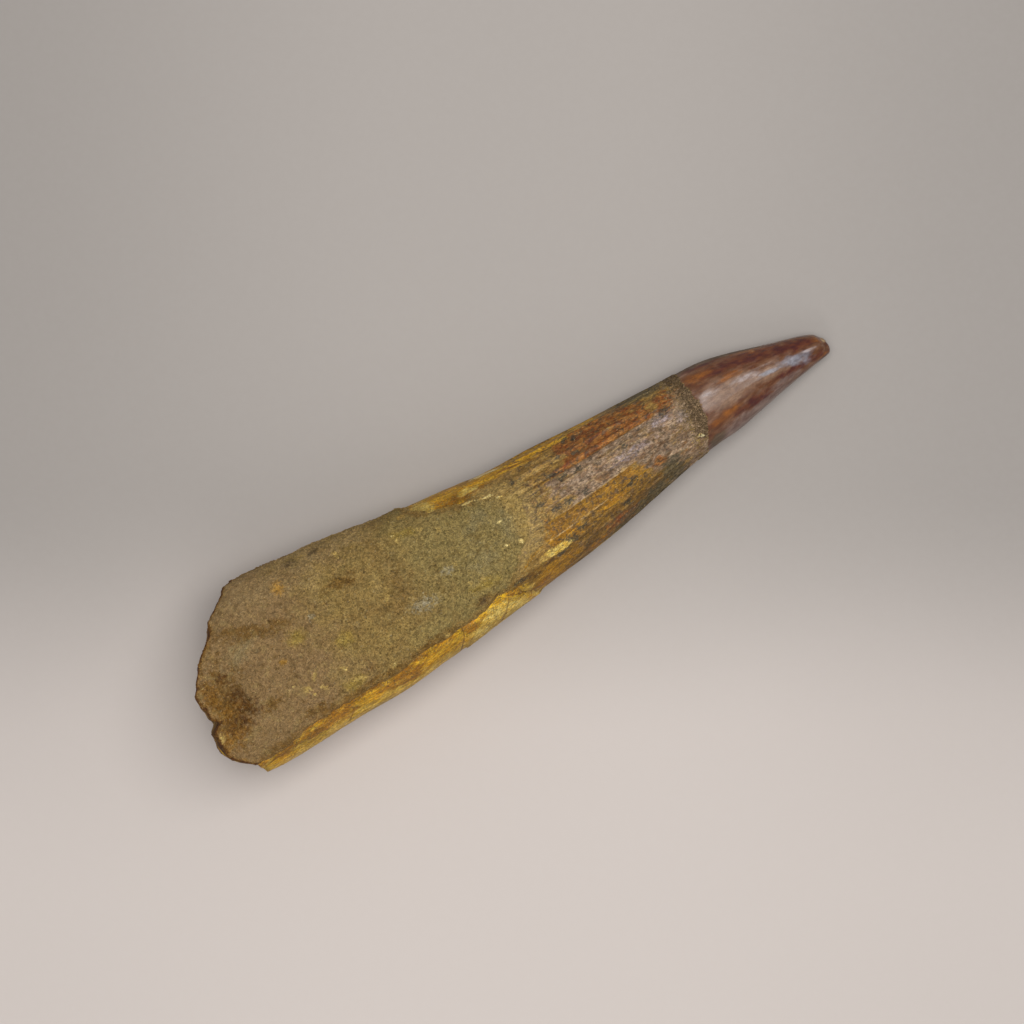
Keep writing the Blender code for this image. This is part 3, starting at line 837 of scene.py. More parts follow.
def crust_masks(form, crust):
    """Where each colour of the sandstone lies, 0 to 1 with its edge at a half."""
    x, y, z = form["x"], form["y"], form["z"]
    front = facing(form)
    from_end = form["place"] - ROOT_END
    masks = {key: front * spots(x, y, places) for key, places in CRUST_SPOTS.items()}
    masks["base"] = 0.5 + (-33.0 - x + 6.0 * rough(x, y, z, 9.0, 3, 81)) * 0.05
    greener = (x + 16.0 + 5.0 * rough(x, y, z, 8.0, 3, 82)) * 0.07
    masks["greenish"] = 0.5 + np.minimum(greener, 0.1 - 0.12 * x)
    rounded = x - 0.2 - 0.03 * (y - 0.5) ** 2
    masks["tongue"] = 0.5 + (rounded + 0.9 * rough(x, y, z, 2.0, 2, 83)) * 0.25
    # lighter along the sandstone's upper edge: painted light where that edge turns away from the lamps
    lit_top_edge = 0.58 * ramp(y, 5.0, 10.0) * ramp(-12.0 - x, 0.0, 10.0)
    masks["pinkish"] = front * (lit_top_edge + 0.40 * rough(x, y, z, 5.0, 3, 85) * ramp(-x, 20.0, 30.0))
    masks["stain"] += (1 - front) * (0.3 + 0.6 * rough(x, y, z, 3.0, 3, 84))
    # darker brown by the sandstone's border, and along the broken end as painted shade
    masks["rim"] = np.maximum(1.0 - crust / 1.6, 1.0 - from_end / 1.2)
    # where the pits are sunk, darkened in colour as painted shade
    masks["pit"] = ramp(rough(x, y, z, 0.8, 2, 53), 0.40, 0.70)
    # dark along the broken end's edge: partly painted shade
    masks["brink_and_shade"] = np.maximum(1.0 - from_end / 0.7, masks["brink_and_shade"])
    masks["tongue_line"] = (0.5 + (0.26 - crust) * 2.2) * ramp(x, 2.0, 3.4) * fade(y, 1.0, 3.0)
    masks["grit"] = np.zeros_like(x)
    return masks


def closed_strip(last, fresh):
    """Quads between two closed rings of points."""
    return np.stack([last, np.roll(last, -1), np.roll(fresh, -1), fresh], -1).tolist()


def open_strip(last, fresh):
    """Quads between two open rows of points."""
    return np.stack([last[:-1], last[1:], fresh[1:], fresh[:-1]], -1).tolist()


def end_rings(rim):
    """Rings that close the broken end, a pitted hollow inside a thin shell, and their masks."""
    middle = np.array([0.0, rim[:, 1].mean(), rim[:, 2].mean()])
    for k in range(1, CAP_ROWS + 1):
        share = (1.0 - k / (CAP_ROWS + 0.6)) ** 1.15
        ring = middle + (rim - middle) * share
        ring[:, 0] = broken_end(ring[:, 1], ring[:, 2])
        hollow = 1.1 * ramp(1.0 - share, 0.08, 0.75)
        pits = 0.40 * rough(8.0, ring[:, 1], ring[:, 2], 2.2, 4, 91) * ramp(1.0 - share, 0.0, 0.2)
        shell = 0.25 * bump(share, 0.80, 0.07)
        ring[:, 0] += hollow + pits + shell
        yield ring, {"end": 1.0, "core": 0.5 + (0.78 - share) * 4.0}


def tip_rings(rim):
    """Rings that close the worn tip. They have the masks of the rim."""
    middle = rim.mean(0)
    for share, forward in TIP_RINGS:
        ring = middle + (rim - middle) * share
        ring[:, 0] = TIP_END + forward + 0.05 * grain(ring[:, 0], ring[:, 1], ring[:, 2], 0.5, 92)
        ring[:, 0] -= 0.12 * bump(ring[:, 1], -2.5, 0.5)
        yield ring, None


def build_tooth(loop):
    """The whole tooth as one closed mesh, sunk where the sandstone lies on it."""
    places = tooth_rows()
    angles = tooth_angles(places)
    form = bare_form(places[:, None], angles)
    crust = crust_inside(form, loop)
    points = placed(form, tooth_relief(form, crust))
    masks = tooth_masks(form, crust)
    rows, columns = points.shape[:2]
    values = {key: [value.reshape(-1)] for key, value in masks.items()}
    stack = [points.reshape(-1, 3)]
    faces = quads(rows, columns, 0, True)
    count = rows * columns
    for first, rings in ((0, end_rings(points[0])), (count - columns, tip_rings(points[-1]))):
        last = np.arange(columns) + first
        for ring, marks in rings:
            fresh = np.arange(columns) + count
            stack.append(ring)
            faces += closed_strip(last, fresh)
            last = fresh
            count += columns
            for key in values:
                given = masks[key][-1] if marks is None else np.full(columns, marks.get(key, 0.0))
                values[key].append(given)
        faces.append(last.tolist())
    values = {key: np.concatenate(value) for key, value in values.items()}
    return mesh_piece("tooth_body", np.concatenate(stack), faces, values)


def crust_span(places, loop):
    """The first and last angle of the sandstone in each row, with its hidden skirt."""
    angles = np.radians(np.linspace(-60.0, 200.0, 781))
    form = bare_form(places[:, None], angles)
    inside = crust_inside(form, loop) + SKIRT
    low = np.zeros(len(places))
    high = np.zeros(len(places))
    for i, row in enumerate(inside):
        best = int(np.argmax(row))
        a = best
        while a > 0 and row[a] > 0:
            a -= 1
        b = best
        while b < len(row) - 1 and row[b] > 0:
            b += 1
        low[i] = angles[a]
        high[i] = angles[b]
    return low, high, inside.max(1)


def build_crust(loop):
    """The sandstone slab as one closed mesh, with its grid for the grains."""
    places = np.linspace(ROOT_END, CRUST_TO, CRUST_ROWS)
    low, high, most = crust_span(places, loop)
    keep = most > 0.02
    places, low, high = places[keep], low[keep], high[keep]
    kernel = np.ones(5) / 5
    for edge in (low, high):
        edge[2:-2] = np.convolve(edge, kernel, "valid")
    t = np.linspace(0.0, 1.0, CRUST_COLUMNS)
    angles = low[:, None] + (high - low)[:, None] * t[None, :]
    form = bare_form(places[:, None], angles)
    crust = crust_inside(form, loop)
    top = placed(form, crust_relief(form, crust))
    deep = UNDER_LEAST + UNDER_SHARE * bed_depth(form, crust) + ramp(-crust, 0, SKIRT)
    under = placed(form, -deep)
    masks = crust_masks(form, crust)
    rows, columns = top.shape[:2]
    size = rows * columns
    faces = quads(rows, columns) + quads(rows, columns, size)
    grid = np.arange(size).reshape(rows, columns)
    stack = [top.reshape(-1, 3), under.reshape(-1, 3)]
    values = {key: [value.ravel(), value.ravel()] for key, value in masks.items()}
    for edge in (grid[:, 0], grid[:, -1], grid[-1]):
        faces += open_strip(edge, edge + size)
    last = grid[0]
    count = 2 * size
    for k in range(1, WALL_ROWS):
        share = k / WALL_ROWS
        ring = blend(top[0], under[0], share)
        ring[:, 0] = blend(broken_end(ring[:, 1], ring[:, 2]), ring[:, 0], 0.3)
        ring[:, 0] += 0.30 * rough(5.0, ring[:, 1], ring[:, 2], 1.0, 3, 95) * math.sin(math.pi * share)
        stack.append(ring)
        fresh = np.arange(columns) + count
        faces += open_strip(last, fresh)
        last = fresh
        count += columns
        # painted shade on the broken wall, darkest at its top edge and fading down it
        wall_shade = 0.98 - (0.9 - 0.6 * bump(ring[:, 1], -5.5, 4.0)) * share
        for key in values:
            values[key].append(wall_shade if key == "brink_and_shade" else masks[key][0])
    faces += open_strip(last, grid[0] + size)
    for side in (0, columns - 1):
        column = [int(grid[0, side])] + [2 * size + k * columns + side for k in range(WALL_ROWS - 1)]
        faces.append(column + [int(grid[0, side]) + size])
    values = {key: np.concatenate(value) for key, value in values.items()}
    values["tint"] = np.full(count, 0.5)
    piece = mesh_piece("sandstone_crust", np.concatenate(stack), faces, values)
    return piece, top, crust, masks


def solid_grain():
    """Corners and faces of a twenty-sided grain of unit radius."""
    g = (1 + 5 ** 0.5) / 2
    corners = np.array([
        (-1, g, 0), (1, g, 0), (-1, -g, 0), (1, -g, 0), (0, -1, g), (0, 1, g),
        (0, -1, -g), (0, 1, -g), (g, 0, -1), (g, 0, 1), (-g, 0, -1), (-g, 0, 1),
    ], float)
    faces = np.array([
        (0, 11, 5), (0, 5, 1), (0, 1, 7), (0, 7, 10), (0, 10, 11), (1, 5, 9), (5, 11, 4),
        (11, 10, 2), (10, 7, 6), (7, 1, 8), (3, 9, 4), (3, 4, 2), (3, 2, 6), (3, 6, 8),
        (3, 8, 9), (4, 9, 5), (2, 4, 11), (6, 2, 10), (8, 6, 7), (9, 8, 1),
    ])
    return corners / math.hypot(1, g), faces


def turned(rng, count):
    """Random turns as 3 by 3 matrices."""
    q = rng.normal(size=(count, 4))
    q /= np.linalg.norm(q, axis=1, keepdims=True)
    w, x, y, z = q.T
    return np.stack([
        np.stack([1 - 2 * (y * y + z * z), 2 * (x * y - z * w), 2 * (x * z + y * w)], -1),
        np.stack([2 * (x * y + z * w), 1 - 2 * (x * x + z * z), 2 * (y * z - x * w)], -1),
        np.stack([2 * (x * z - y * w), 2 * (y * z + x * w), 1 - 2 * (x * x + y * y)], -1),
    ], 1)


def scatter(name, grid, weight, masks, count, sizes, seed):
    """Sand grains half sunk in a surface given as a grid of points, joined in one mesh."""
    rng = np.random.default_rng(seed)
    across = np.cross(grid[1:, :-1] - grid[:-1, :-1], grid[:-1, 1:] - grid[:-1, :-1])
    area = np.linalg.norm(across, axis=-1)
    chance = (area * weight[:-1, :-1]).ravel()
    picks = rng.choice(len(chance), count, p=chance / chance.sum())
    i, j = np.unravel_index(picks, area.shape)
    u, v = rng.random((2, count, 1))
    spot = (
        grid[i, j] * (1 - u) * (1 - v) + grid[i + 1, j] * u * (1 - v)
        + grid[i, j + 1] * (1 - u) * v + grid[i + 1, j + 1] * u * v
    )
    size = np.exp(rng.uniform(math.log(sizes[0]), math.log(sizes[1]), count))
    outward = across[i, j] / np.linalg.norm(across[i, j], axis=-1, keepdims=True)
    heart = grid[i].mean(1) * (0.0, 1.0, 0.6) + grid[i, j] * (1.0, 0.0, 0.0)
    outward *= np.sign(((grid[i, j] - heart) * outward).sum(-1, keepdims=True))
    spot = spot - outward * size[:, None] * GRAIN_SUNK
    corners, faces = solid_grain()
    each = len(corners)
    shape = corners[None] * rng.uniform(0.72, 1.25, (count, 1, 3))
    shape = shape * rng.uniform(0.88, 1.12, (count, each, 1))
    shape = np.einsum("nij,nkj->nki", turned(rng, count), shape) * size[:, None, None]
    points = (shape + spot[:, None]).reshape(-1, 3)
    points[:, 2] = np.maximum(points[:, 2], 0.0)
    all_faces = (faces[None] + each * np.arange(count)[:, None, None]).reshape(-1, 3).tolist()
    values = {key: np.repeat(value[i, j], each) for key, value in masks.items()}
    values["tint"] = np.repeat(rng.random(count), each)
    return mesh_piece(name, points, all_faces, values, smooth=False)


def seen(red, green, blue):
    """The surface colour that looks like this screen colour, 0 to 255, under the studio light."""
    def surface(v):
        v = v / 255.0
        v = v / 12.92 if v <= 0.04045 else ((v + 0.055) / 1.055) ** 2.4
        return max((v - REFLECTED) / STUDIO_LIGHT, 0.003)
    return (surface(red), surface(green), surface(blue), 1.0)


def grey(level):
    return (level, level, level, 1.0)


# How materials stretch along the tooth: the same each way, or drawn out in short or long streaks
EVEN = (1.0, 1.0, 1.0)
SLIGHT = (0.6, 1.0, 1.0)
SHORT = (0.45, 1.0, 1.0)
DRAWN = (0.3, 1.0, 1.0)
LONG = (0.16, 1.0, 1.0)
WHITE = grey(1.0)

# How far each node of noise is moved from the last, so that no two show the same pattern, in mm
NOISE_STEP = 7.3


class Graph:
    """Short ways to make the nodes of one material."""

    def __init__(self, name):
        self.material = bpy.data.materials.new(name)
        self.material.use_nodes = True
        self.tree = self.material.node_tree
        self.shader = self.tree.nodes["Principled BSDF"]
        scale = self.node("VectorMath", operation="SCALE")
        scale.inputs["Scale"].default_value = 1.0 / MM
        self.link(self.node("TexCoord").outputs["Object"], scale.inputs[0])
        self.mm = scale.outputs[0]
        self.seed = 0.0

    def node(self, kind, **settings):
        node = self.tree.nodes.new("ShaderNode" + kind)
        for key, value in settings.items():
            setattr(node, key, value)
        return node

    def link(self, value, socket):
        if isinstance(value, bpy.types.NodeSocket):
            self.tree.links.new(value, socket)
        else:
            socket.default_value = value

    def fill(self, node, **values):
        """Sets a node's inputs by name, with _ for a space."""
        for key, value in values.items():
            self.link(value, node.inputs[key.replace("_", " ")])

    def attribute(self, name):
        return self.node("Attribute", attribute_name=name).outputs["Fac"]

    def math(self, operation, a, b=0.0):
        node = self.node("Math", operation=operation)
        self.link(a, node.inputs[0])
        self.link(b, node.inputs[1])
        return node.outputs[0]

    def times(self, a, b):
        return self.math("MULTIPLY", a, b)

    def place(self, stretch):
        """Coordinates in mm, stretched along the tooth and moved to a fresh patch of noise."""
        self.seed += NOISE_STEP
        node = self.node("Mapping")
        self.fill(node, Location=(self.seed, -self.seed, 0.5 * self.seed), Scale=stretch, Vector=self.mm)
        return node.outputs[0]

    def along(self, direction):
        """How far a point lies in a direction, in mm."""
        node = self.node("VectorMath", operation="DOT_PRODUCT")
        self.link(self.mm, node.inputs[0])
        node.inputs[1].default_value = direction
        return node.outputs["Value"]

    def noise(self, size, detail=3.0, stretch=EVEN, distortion=0.0):
        node = self.node("TexNoise")
        at = self.place(stretch)
        self.fill(node, Vector=at, Scale=1.0 / size, Detail=detail, Distortion=distortion)
        return node.outputs["Fac"]

    def cells(self, size, output="Distance", feature="F1"):
        node = self.node("TexVoronoi", feature=feature)
        self.fill(node, Vector=self.place(EVEN), Scale=1.0 / size)
        return node.outputs[output]

    def spread(self, value, low, high, to_low=0.0, to_high=1.0):
        node = self.node("MapRange", interpolation_type="SMOOTHSTEP")
        self.fill(node, Value=value, From_Min=low, From_Max=high, To_Min=to_low, To_Max=to_high)
        return node.outputs[0]

    def mix(self, share, a, b, mode="MIX"):
        node = self.node("Mix", data_type="RGBA", blend_type=mode)
        self.link(share, node.inputs[0])
        self.link(a, node.inputs[6])
        self.link(b, node.inputs[7])
        return node.outputs[2]

    def colours(self, value, stops):
        node = self.node("ValToRGB")
        band = node.color_ramp
        while len(band.elements) < len(stops):
            band.elements.new(0.5)
        for element, (at, colour) in zip(band.elements, stops):
            element.position = at
            element.color = colour
        self.link(value, node.inputs[0])
        return node.outputs[0]

    def ragged(self, mask, size, stretch, breakup, sharp, strength=1.0):
        """A soft mask cut at a half along an irregular, grainy edge."""
        noisy = self.noise(size, 4.0, stretch)
        edge = self.math("ADD", self.attribute(mask), self.centred(noisy, breakup))
        return self.spread(edge, 0.5 - sharp, 0.5 + sharp, 0.0, strength)

    def layer(self, below, mask, first, second, size, stretch, breakup, sharp, strength=1.0, vary=0.8):
        """A patch of two mingled colours laid over what is below."""
        share = self.ragged(mask, size, stretch, breakup, sharp, strength)
        mingled = self.spread(self.noise(vary, 4.0, stretch), 0.35, 0.65)
        return self.mix(share, below, self.mix(mingled, seen(*first), seen(*second)))

    def layers(self, below, rows):
        """Patches laid over each other, each given as the values that layer() takes."""
        for row in rows:
            below = self.layer(below, *row)
        return below

    def specks(self, below, colour, size, detail, low, high, strength, stretch=EVEN, only=None):
        """Specks of one colour where noise rises past low; only is a mask that keeps them to a part."""
        share = self.spread(self.noise(size, detail, stretch), low, high, 0.0, strength)
        if only is not None:
            share = self.times(share, self.attribute(only))
        return self.mix(share, below, seen(*colour))

    def mottled(self, below, size, detail, stretch, low, high, dark, light):
        """A colour made darker and lighter by noise."""
        return self.tinted(below, self.spread(self.noise(size, detail, stretch), low, high, dark, light))

    def line(self, side, half_width, wander):
        """1 on a line stored as the distance to either side of it, with uneven width and course."""
        drift = self.centred(self.noise(0.8, 4.0), wander * 4.0)
        mm = self.centred(self.attribute(side), LINE_SPAN)
        away = self.math("ABSOLUTE", self.math("ADD", mm, drift))
        return self.spread(away, half_width, half_width + 0.12, 1.0, 0.0)

    def centred(self, value, scale):
        """A value around a half, turned into one around zero and scaled."""
        return self.times(self.math("SUBTRACT", value, 0.5), scale)

    def value(self, colour):
        """The red of a colour, as one number."""
        node = self.node("SeparateColor")
        self.link(colour, node.inputs[0])
        return node.outputs[0]

    def tinted(self, colour, brightness):
        return self.mix(1.0, colour, brightness, "MULTIPLY")

    def bump(self, height, distance, strength=1.0, below=None):
        node = self.node("Bump")
        self.fill(node, Strength=strength, Distance=distance, Height=height)
        if below is not None:
            self.link(below, node.inputs["Normal"])
        return node.outputs[0]


# Patches of the sandstone, some partly painted shade: mask, two colours, size, stretch, breakup,
# sharpness, strength, mingling
SANDSTONE_STAINS_AND_SHADE = [
    ("base", (126, 102, 72), (135, 110, 79), 4.0, EVEN, 1.0, 0.35, 0.85),
    # pinkish tan, with painted light along the upper edge
    ("pinkish", (155, 132, 94), (141, 118, 83), 1.8, EVEN, 1.0, 0.35, 0.75),
    ("greenish", (126, 112, 72), (134, 118, 76), 3.0, EVEN, 1.2, 0.35, 0.8),
    ("yellow", (148, 126, 64), (140, 118, 62), 1.2, EVEN, 1.2, 0.35, 0.75),
    ("blue", (138, 128, 96), (124, 114, 82), 1.4, EVEN, 1.8, 0.4, 0.45),
    ("tongue", (162, 138, 88), (148, 124, 74), 1.0, EVEN, 0.9, 0.25, 0.8),
    ("stain", (98, 74, 42), (112, 84, 46), 0.9, EVEN, 1.8, 0.35, 0.75),
    ("grey", (84, 70, 54), (102, 86, 64), 0.5, EVEN, 1.6, 0.3, 0.8),
    ("golden", (136, 100, 50), (104, 72, 34), 0.5, EVEN, 1.6, 0.35, 0.8, 0.4),
    # dark brown in the hollow: partly painted shade
    ("hollow", (72, 50, 28), (98, 68, 38), 0.6, EVEN, 2.2, 0.45, 0.85),
    # darker brown by the border, and along the broken end as painted shade
    ("rim", (120, 90, 50), (138, 106, 60), 0.8, EVEN, 1.3, 0.35, 0.6),
]
SANDSTONE_FLECKS_AND_SHADE = [
    ("chalky", (156, 150, 130), (138, 128, 100), 0.35, EVEN, 2.2, 0.35, 0.6),
    ("amber", (186, 140, 62), (158, 118, 56), 0.4, EVEN, 1.4, 0.35, 0.65),
    ("ochre", (188, 162, 98), (160, 134, 78), 0.3, EVEN, 1.6, 0.3, 0.75),
    ("flakes", (208, 188, 128), (184, 154, 86), 0.25, EVEN, 1.0, 0.12, 0.95),
    ("tongue_line", (112, 76, 32), (134, 92, 42), 0.5, EVEN, 1.0, 0.2, 0.85),
    ("grit", (98, 82, 64), (84, 70, 54), 0.4, EVEN, 0.2, 0.1),
    # dark brown broken edge: partly painted shade
    ("brink_and_shade", (66, 42, 24), (96, 68, 40), 0.7, EVEN, 1.3, 0.25, 0.85),
]


def sandstone_material():
    g = Graph("sandstone")
    base = g.colours(g.noise(5.0, 6.0), [
        (0.34, seen(124, 101, 63)), (0.46, seen(131, 109, 68)), (0.56, seen(136, 114, 70)),
        (0.68, seen(142, 120, 76)),
    ])
    base = g.layers(base, SANDSTONE_STAINS_AND_SHADE)
    base = g.specks(base, (96, 76, 46), 1.2, 5.0, 0.54, 0.70, 0.30)
    base = g.specks(base, (150, 130, 84), 1.5, 5.0, 0.54, 0.68, 0.28)
    base = g.layers(base, SANDSTONE_FLECKS_AND_SHADE)
    grainy = g.spread(g.value(g.cells(0.30, "Color")), 0.0, 1.0, 0.76, 1.22)
    grainy = g.times(grainy, g.spread(g.noise(0.16, 2.0), 0.30, 0.70, 0.70, 1.28))
    grainy = g.times(grainy, g.spread(g.attribute("tint"), 0.0, 1.0, 0.66, 1.34))
    smoother = g.spread(g.attribute("base"), 0.3, 0.8, 0.0, 0.25)
    base = g.tinted(base, g.mix(smoother, grainy, WHITE))
    base = g.specks(base, (178, 158, 104), 0.24, 2.0, 0.66, 0.74, 0.7)
    base = g.specks(base, (72, 60, 38), 0.24, 2.0, 0.65, 0.73, 0.7)
    # painted shade: darker in the pits
    base = g.mix(g.spread(g.attribute("pit"), 0.2, 1.0, 0.0, 0.35), base, seen(84, 66, 38))
    g.link(base, g.shader.inputs["Base Color"])
    g.link(g.spread(g.noise(0.5, 3.0), 0.2, 0.8, 0.80, 0.98), g.shader.inputs["Roughness"])
    g.shader.inputs["Specular IOR Level"].default_value = 0.2
    height = g.math("ADD", g.times(g.cells(0.30), -0.7), g.noise(0.16, 2.0))
    normal = g.bump(height, 0.00012, 0.8)
    g.link(g.bump(g.noise(1.1, 4.0), 0.00018, 0.6, normal), g.shader.inputs["Normal"])
    return g.material


# Patches of the tooth, in the order they are laid: the same values as for the sandstone; the grey-purple
# is partly painted sheen and the lavender spots painted highlights
ROOT_AND_CROWN = [
    ("root", (176, 122, 22), (192, 154, 44), 1.6, SHORT, 1.4, 0.16, 1.0, 1.2),
    ("olive", (158, 125, 45), (184, 152, 76), 1.0, SHORT, 0.8, 0.3, 0.8, 0.7),
    ("brown", (92, 66, 32), (130, 98, 46), 1.0, LONG, 1.3, 0.2, 0.9, 0.5),
    ("gold", (134, 94, 34), (158, 116, 42), 1.0, LONG, 0.9, 0.12, 0.95, 0.5),
    ("bright_gold", (188, 146, 50), (170, 122, 34), 0.8, LONG, 1.2, 0.16, 0.95, 0.4),
    # grey-purple: partly the enamel's colour, partly painted sheen
    ("purple_and_sheen", (150, 128, 106), (104, 80, 62), 1.3, SHORT, 1.9, 0.2, 0.9, 0.6),
    # lavender spots: painted highlights
    ("lilac_highlight", (154, 142, 144), (114, 98, 92), 0.5, SHORT, 1.6, 0.3, 0.7, 0.3),
    ("red", (114, 64, 26), (144, 98, 52), 1.1, SHORT, 1.6, 0.16, 0.95, 0.6),
]
WEATHERED = [
    ("orange", (150, 102, 34), (120, 80, 26), 0.8, SHORT, 1.8, 0.25, 0.85, 0.6),
    ("sanded", (132, 110, 66), (156, 132, 82), 0.5, EVEN, 1.5, 0.3, 0.75, 0.3),
    ("pale", (208, 182, 102), (188, 152, 66), 0.7, SLIGHT, 1.2, 0.2, 0.95, 0.5),
    ("dusty", (122, 104, 84), (140, 120, 94), 0.4, EVEN, 2.4, 0.2, 0.5, 0.3),
]
# grime and the gritty ring, and cream that along the upper edge is a painted highlight
DIRT_AND_HIGHLIGHT = [
    ("grime", (90, 84, 68), (68, 64, 50), 0.6, SHORT, 1.4, 0.25, 0.8, 0.3),
    ("ring", (126, 106, 82), (84, 70, 54), 0.45, EVEN, 2.6, 0.25, 0.9, 0.55),
    ("cream_and_highlight", (212, 198, 152), (192, 164, 96), 0.4, SHORT, 1.0, 0.15, 0.95),
]
BROKEN_FACE = [
    ("end", (104, 70, 36), (134, 98, 54), 0.6, EVEN, 0.2, 0.1, 1.0, 0.5),
    ("core", (114, 92, 58), (132, 110, 70), 0.5, EVEN, 0.8, 0.15, 1.0, 0.3),
]
# Mottling of the tooth: size, detail, stretch, noise from and to, darkest and lightest
TOOTH_MOTTLING = [
    (0.14, 3.0, (0.4, 1.0, 1.0), 0.3, 0.7, 0.66, 1.34),
    (0.5, 5.0, (0.26, 1.0, 1.0), 0.3, 0.7, 0.86, 1.14),
    (0.26, 2.0, SLIGHT, 0.35, 0.65, 0.82, 1.18),
    (0.9, 3.0, (0.5, 1.0, 1.0), 0.36, 0.64, 0.88, 1.12),
]


def drawn_lines(g, base):
    """The cracks, painted shade along the edge of the flake, and a painted line along each ridge: a
    highlight on some and shade on others.
    """
    # painted shade along the raised flake's edge
    flake = g.times(g.line("flake_side", 0.08, 0.10), g.attribute("flake_shade_line"))
    flake = g.times(flake, g.spread(g.noise(0.9, 3.0), 0.4, 0.6, 0.1, 0.7))
    base = g.mix(flake, base, seen(98, 62, 24))
    crack = g.times(g.line("crack_side", 0.03, 0.12), g.attribute("crack_open"))
    base = g.mix(g.times(crack, 0.6), base, seen(80, 52, 24))
    # a painted line along each ridge: pale as a highlight on some, dark as shade on others
    ridge = g.times(g.line("ridge_side", 0.05, 0.12), g.attribute("ridge_shows"))
    tone = g.mix(g.attribute("ridge_shade_to_highlight"), seen(70, 50, 30), seen(188, 158, 112))
    ridge = g.times(ridge, g.spread(g.noise(0.8, 3.0), 0.38, 0.62, 0.15, 0.7))
    return g.mix(ridge, base, tone)


def tooth_material():
    g = Graph("fossil_tooth")
    base = g.colours(g.noise(0.7, 5.0, DRAWN, 0.4), [
        (0.32, seen(116, 88, 48)), (0.46, seen(136, 106, 58)), (0.58, seen(148, 118, 66)),
        (0.72, seen(160, 132, 80)),
    ])
    base = g.layers(base, ROOT_AND_CROWN)
    deep = g.spread(g.noise(1.0, 6.0, (0.5, 1.0, 1.0)), 0.51, 0.61, 0.0, 0.5)
    deep = g.times(deep, g.spread(g.attribute("red"), 0.35, 0.60))
    base = g.mix(deep, base, seen(76, 44, 22))
    base = g.layers(base, WEATHERED)
    base = g.specks(base, (84, 70, 54), 0.6, 6.0, 0.52, 0.64, 0.75, (0.8, 1.0, 1.0), "fluted")
    base = g.specks(base, (144, 106, 64), 0.7, 6.0, 0.54, 0.66, 0.35, (0.8, 1.0, 1.0), "fluted")
    base = g.layer(base, "dark", (48, 48, 42), (84, 78, 64), 0.35, SLIGHT, 2.2, 0.16, 0.8, 0.3)
    base = g.tinted(base, g.spread(g.attribute("flute_tone"), 0.0, 1.0, 0.90, 1.10))
    base = g.layers(base, DIRT_AND_HIGHLIGHT)
    base = drawn_lines(g, base)
    base = g.layers(base, BROKEN_FACE)
    for row in TOOTH_MOTTLING:
        base = g.mottled(base, *row)
    base = g.specks(base, (66, 52, 36), 0.22, 2.0, 0.62, 0.72, 0.65, SHORT)
    patches = g.spread(g.noise(3.2, 4.0, SHORT), 0.34, 0.66, 0.80, 1.16)
    base = g.tinted(base, g.mix(g.attribute("rooted"), WHITE, patches))
    base = g.specks(base, (188, 168, 128), 0.26, 1.0, 0.70, 0.77, 0.55)
    crazing = g.spread(g.cells(1.1, "Distance", "DISTANCE_TO_EDGE"), 0.0, 0.05, 1.0, 0.0)
    crazing = g.times(crazing, g.spread(g.noise(2.5, 3.0), 0.45, 0.60, 0.0, 0.4))
    base = g.mix(crazing, base, seen(70, 52, 32))
    g.link(base, g.shader.inputs["Base Color"])
    dull = g.spread(g.noise(0.7, 4.0, LONG), 0.3, 0.7, 0.48, 0.68)
    gritty = g.math("MAXIMUM", g.ragged("ring", 0.4, EVEN, 0.6, 0.2), g.attribute("end"))
    finish = g.mix(gritty, dull, grey(0.92))
    finish = g.mix(g.ragged("grime", 0.7, EVEN, 1.0, 0.2, 0.8), finish, grey(0.85))
    g.link(finish, g.shader.inputs["Roughness"])
    g.shader.inputs["Specular IOR Level"].default_value = 0.30
    height = g.math("ADD", g.noise(0.30, 5.0, (0.25, 1.0, 1.0)), g.times(g.noise(0.22, 3.0), 0.7))
    height = g.math("SUBTRACT", height, g.times(crazing, 0.5))
    g.link(g.bump(height, 0.00012, 0.9), g.shader.inputs["Normal"])
    return g.material


# Patches of the glossy tip: mask, two colours and strength; among them painted highlights, a painted
# reflection of the floor and painted shade
TIP_PATCHES = [
    # pale along the tip's middle line: painted highlight
    ("tip_pale_and_highlight", (140, 112, 90), (122, 94, 74), 0.75),
    ("tip_orange", (138, 84, 34), (112, 68, 32), 0.85),
    # mauve-grey band along the tip's lower edge: painted reflection of the floor
    ("tip_mauve_reflection", (128, 110, 102), (104, 84, 78), 0.75),
    # dark red-brown: partly the enamel's colour, partly painted shade below the highlight
    ("tip_dark_and_shade", (72, 38, 20), (96, 54, 28), 0.9),
    # bluish-white streak near the tip's end: painted highlight
    ("tip_blue_highlight", (138, 138, 146), (112, 110, 116), 0.85),
    # pale spots on the tip: painted highlights
    ("tip_highlight", (176, 164, 162), (150, 132, 122), 0.65),
    ("grime", (90, 84, 68), (68, 64, 50), 0.6),
    # cream rim at the tip's end; along the upper edge the cream is a painted highlight
    ("cream_and_highlight", (206, 184, 140), (168, 134, 84), 0.9),
]


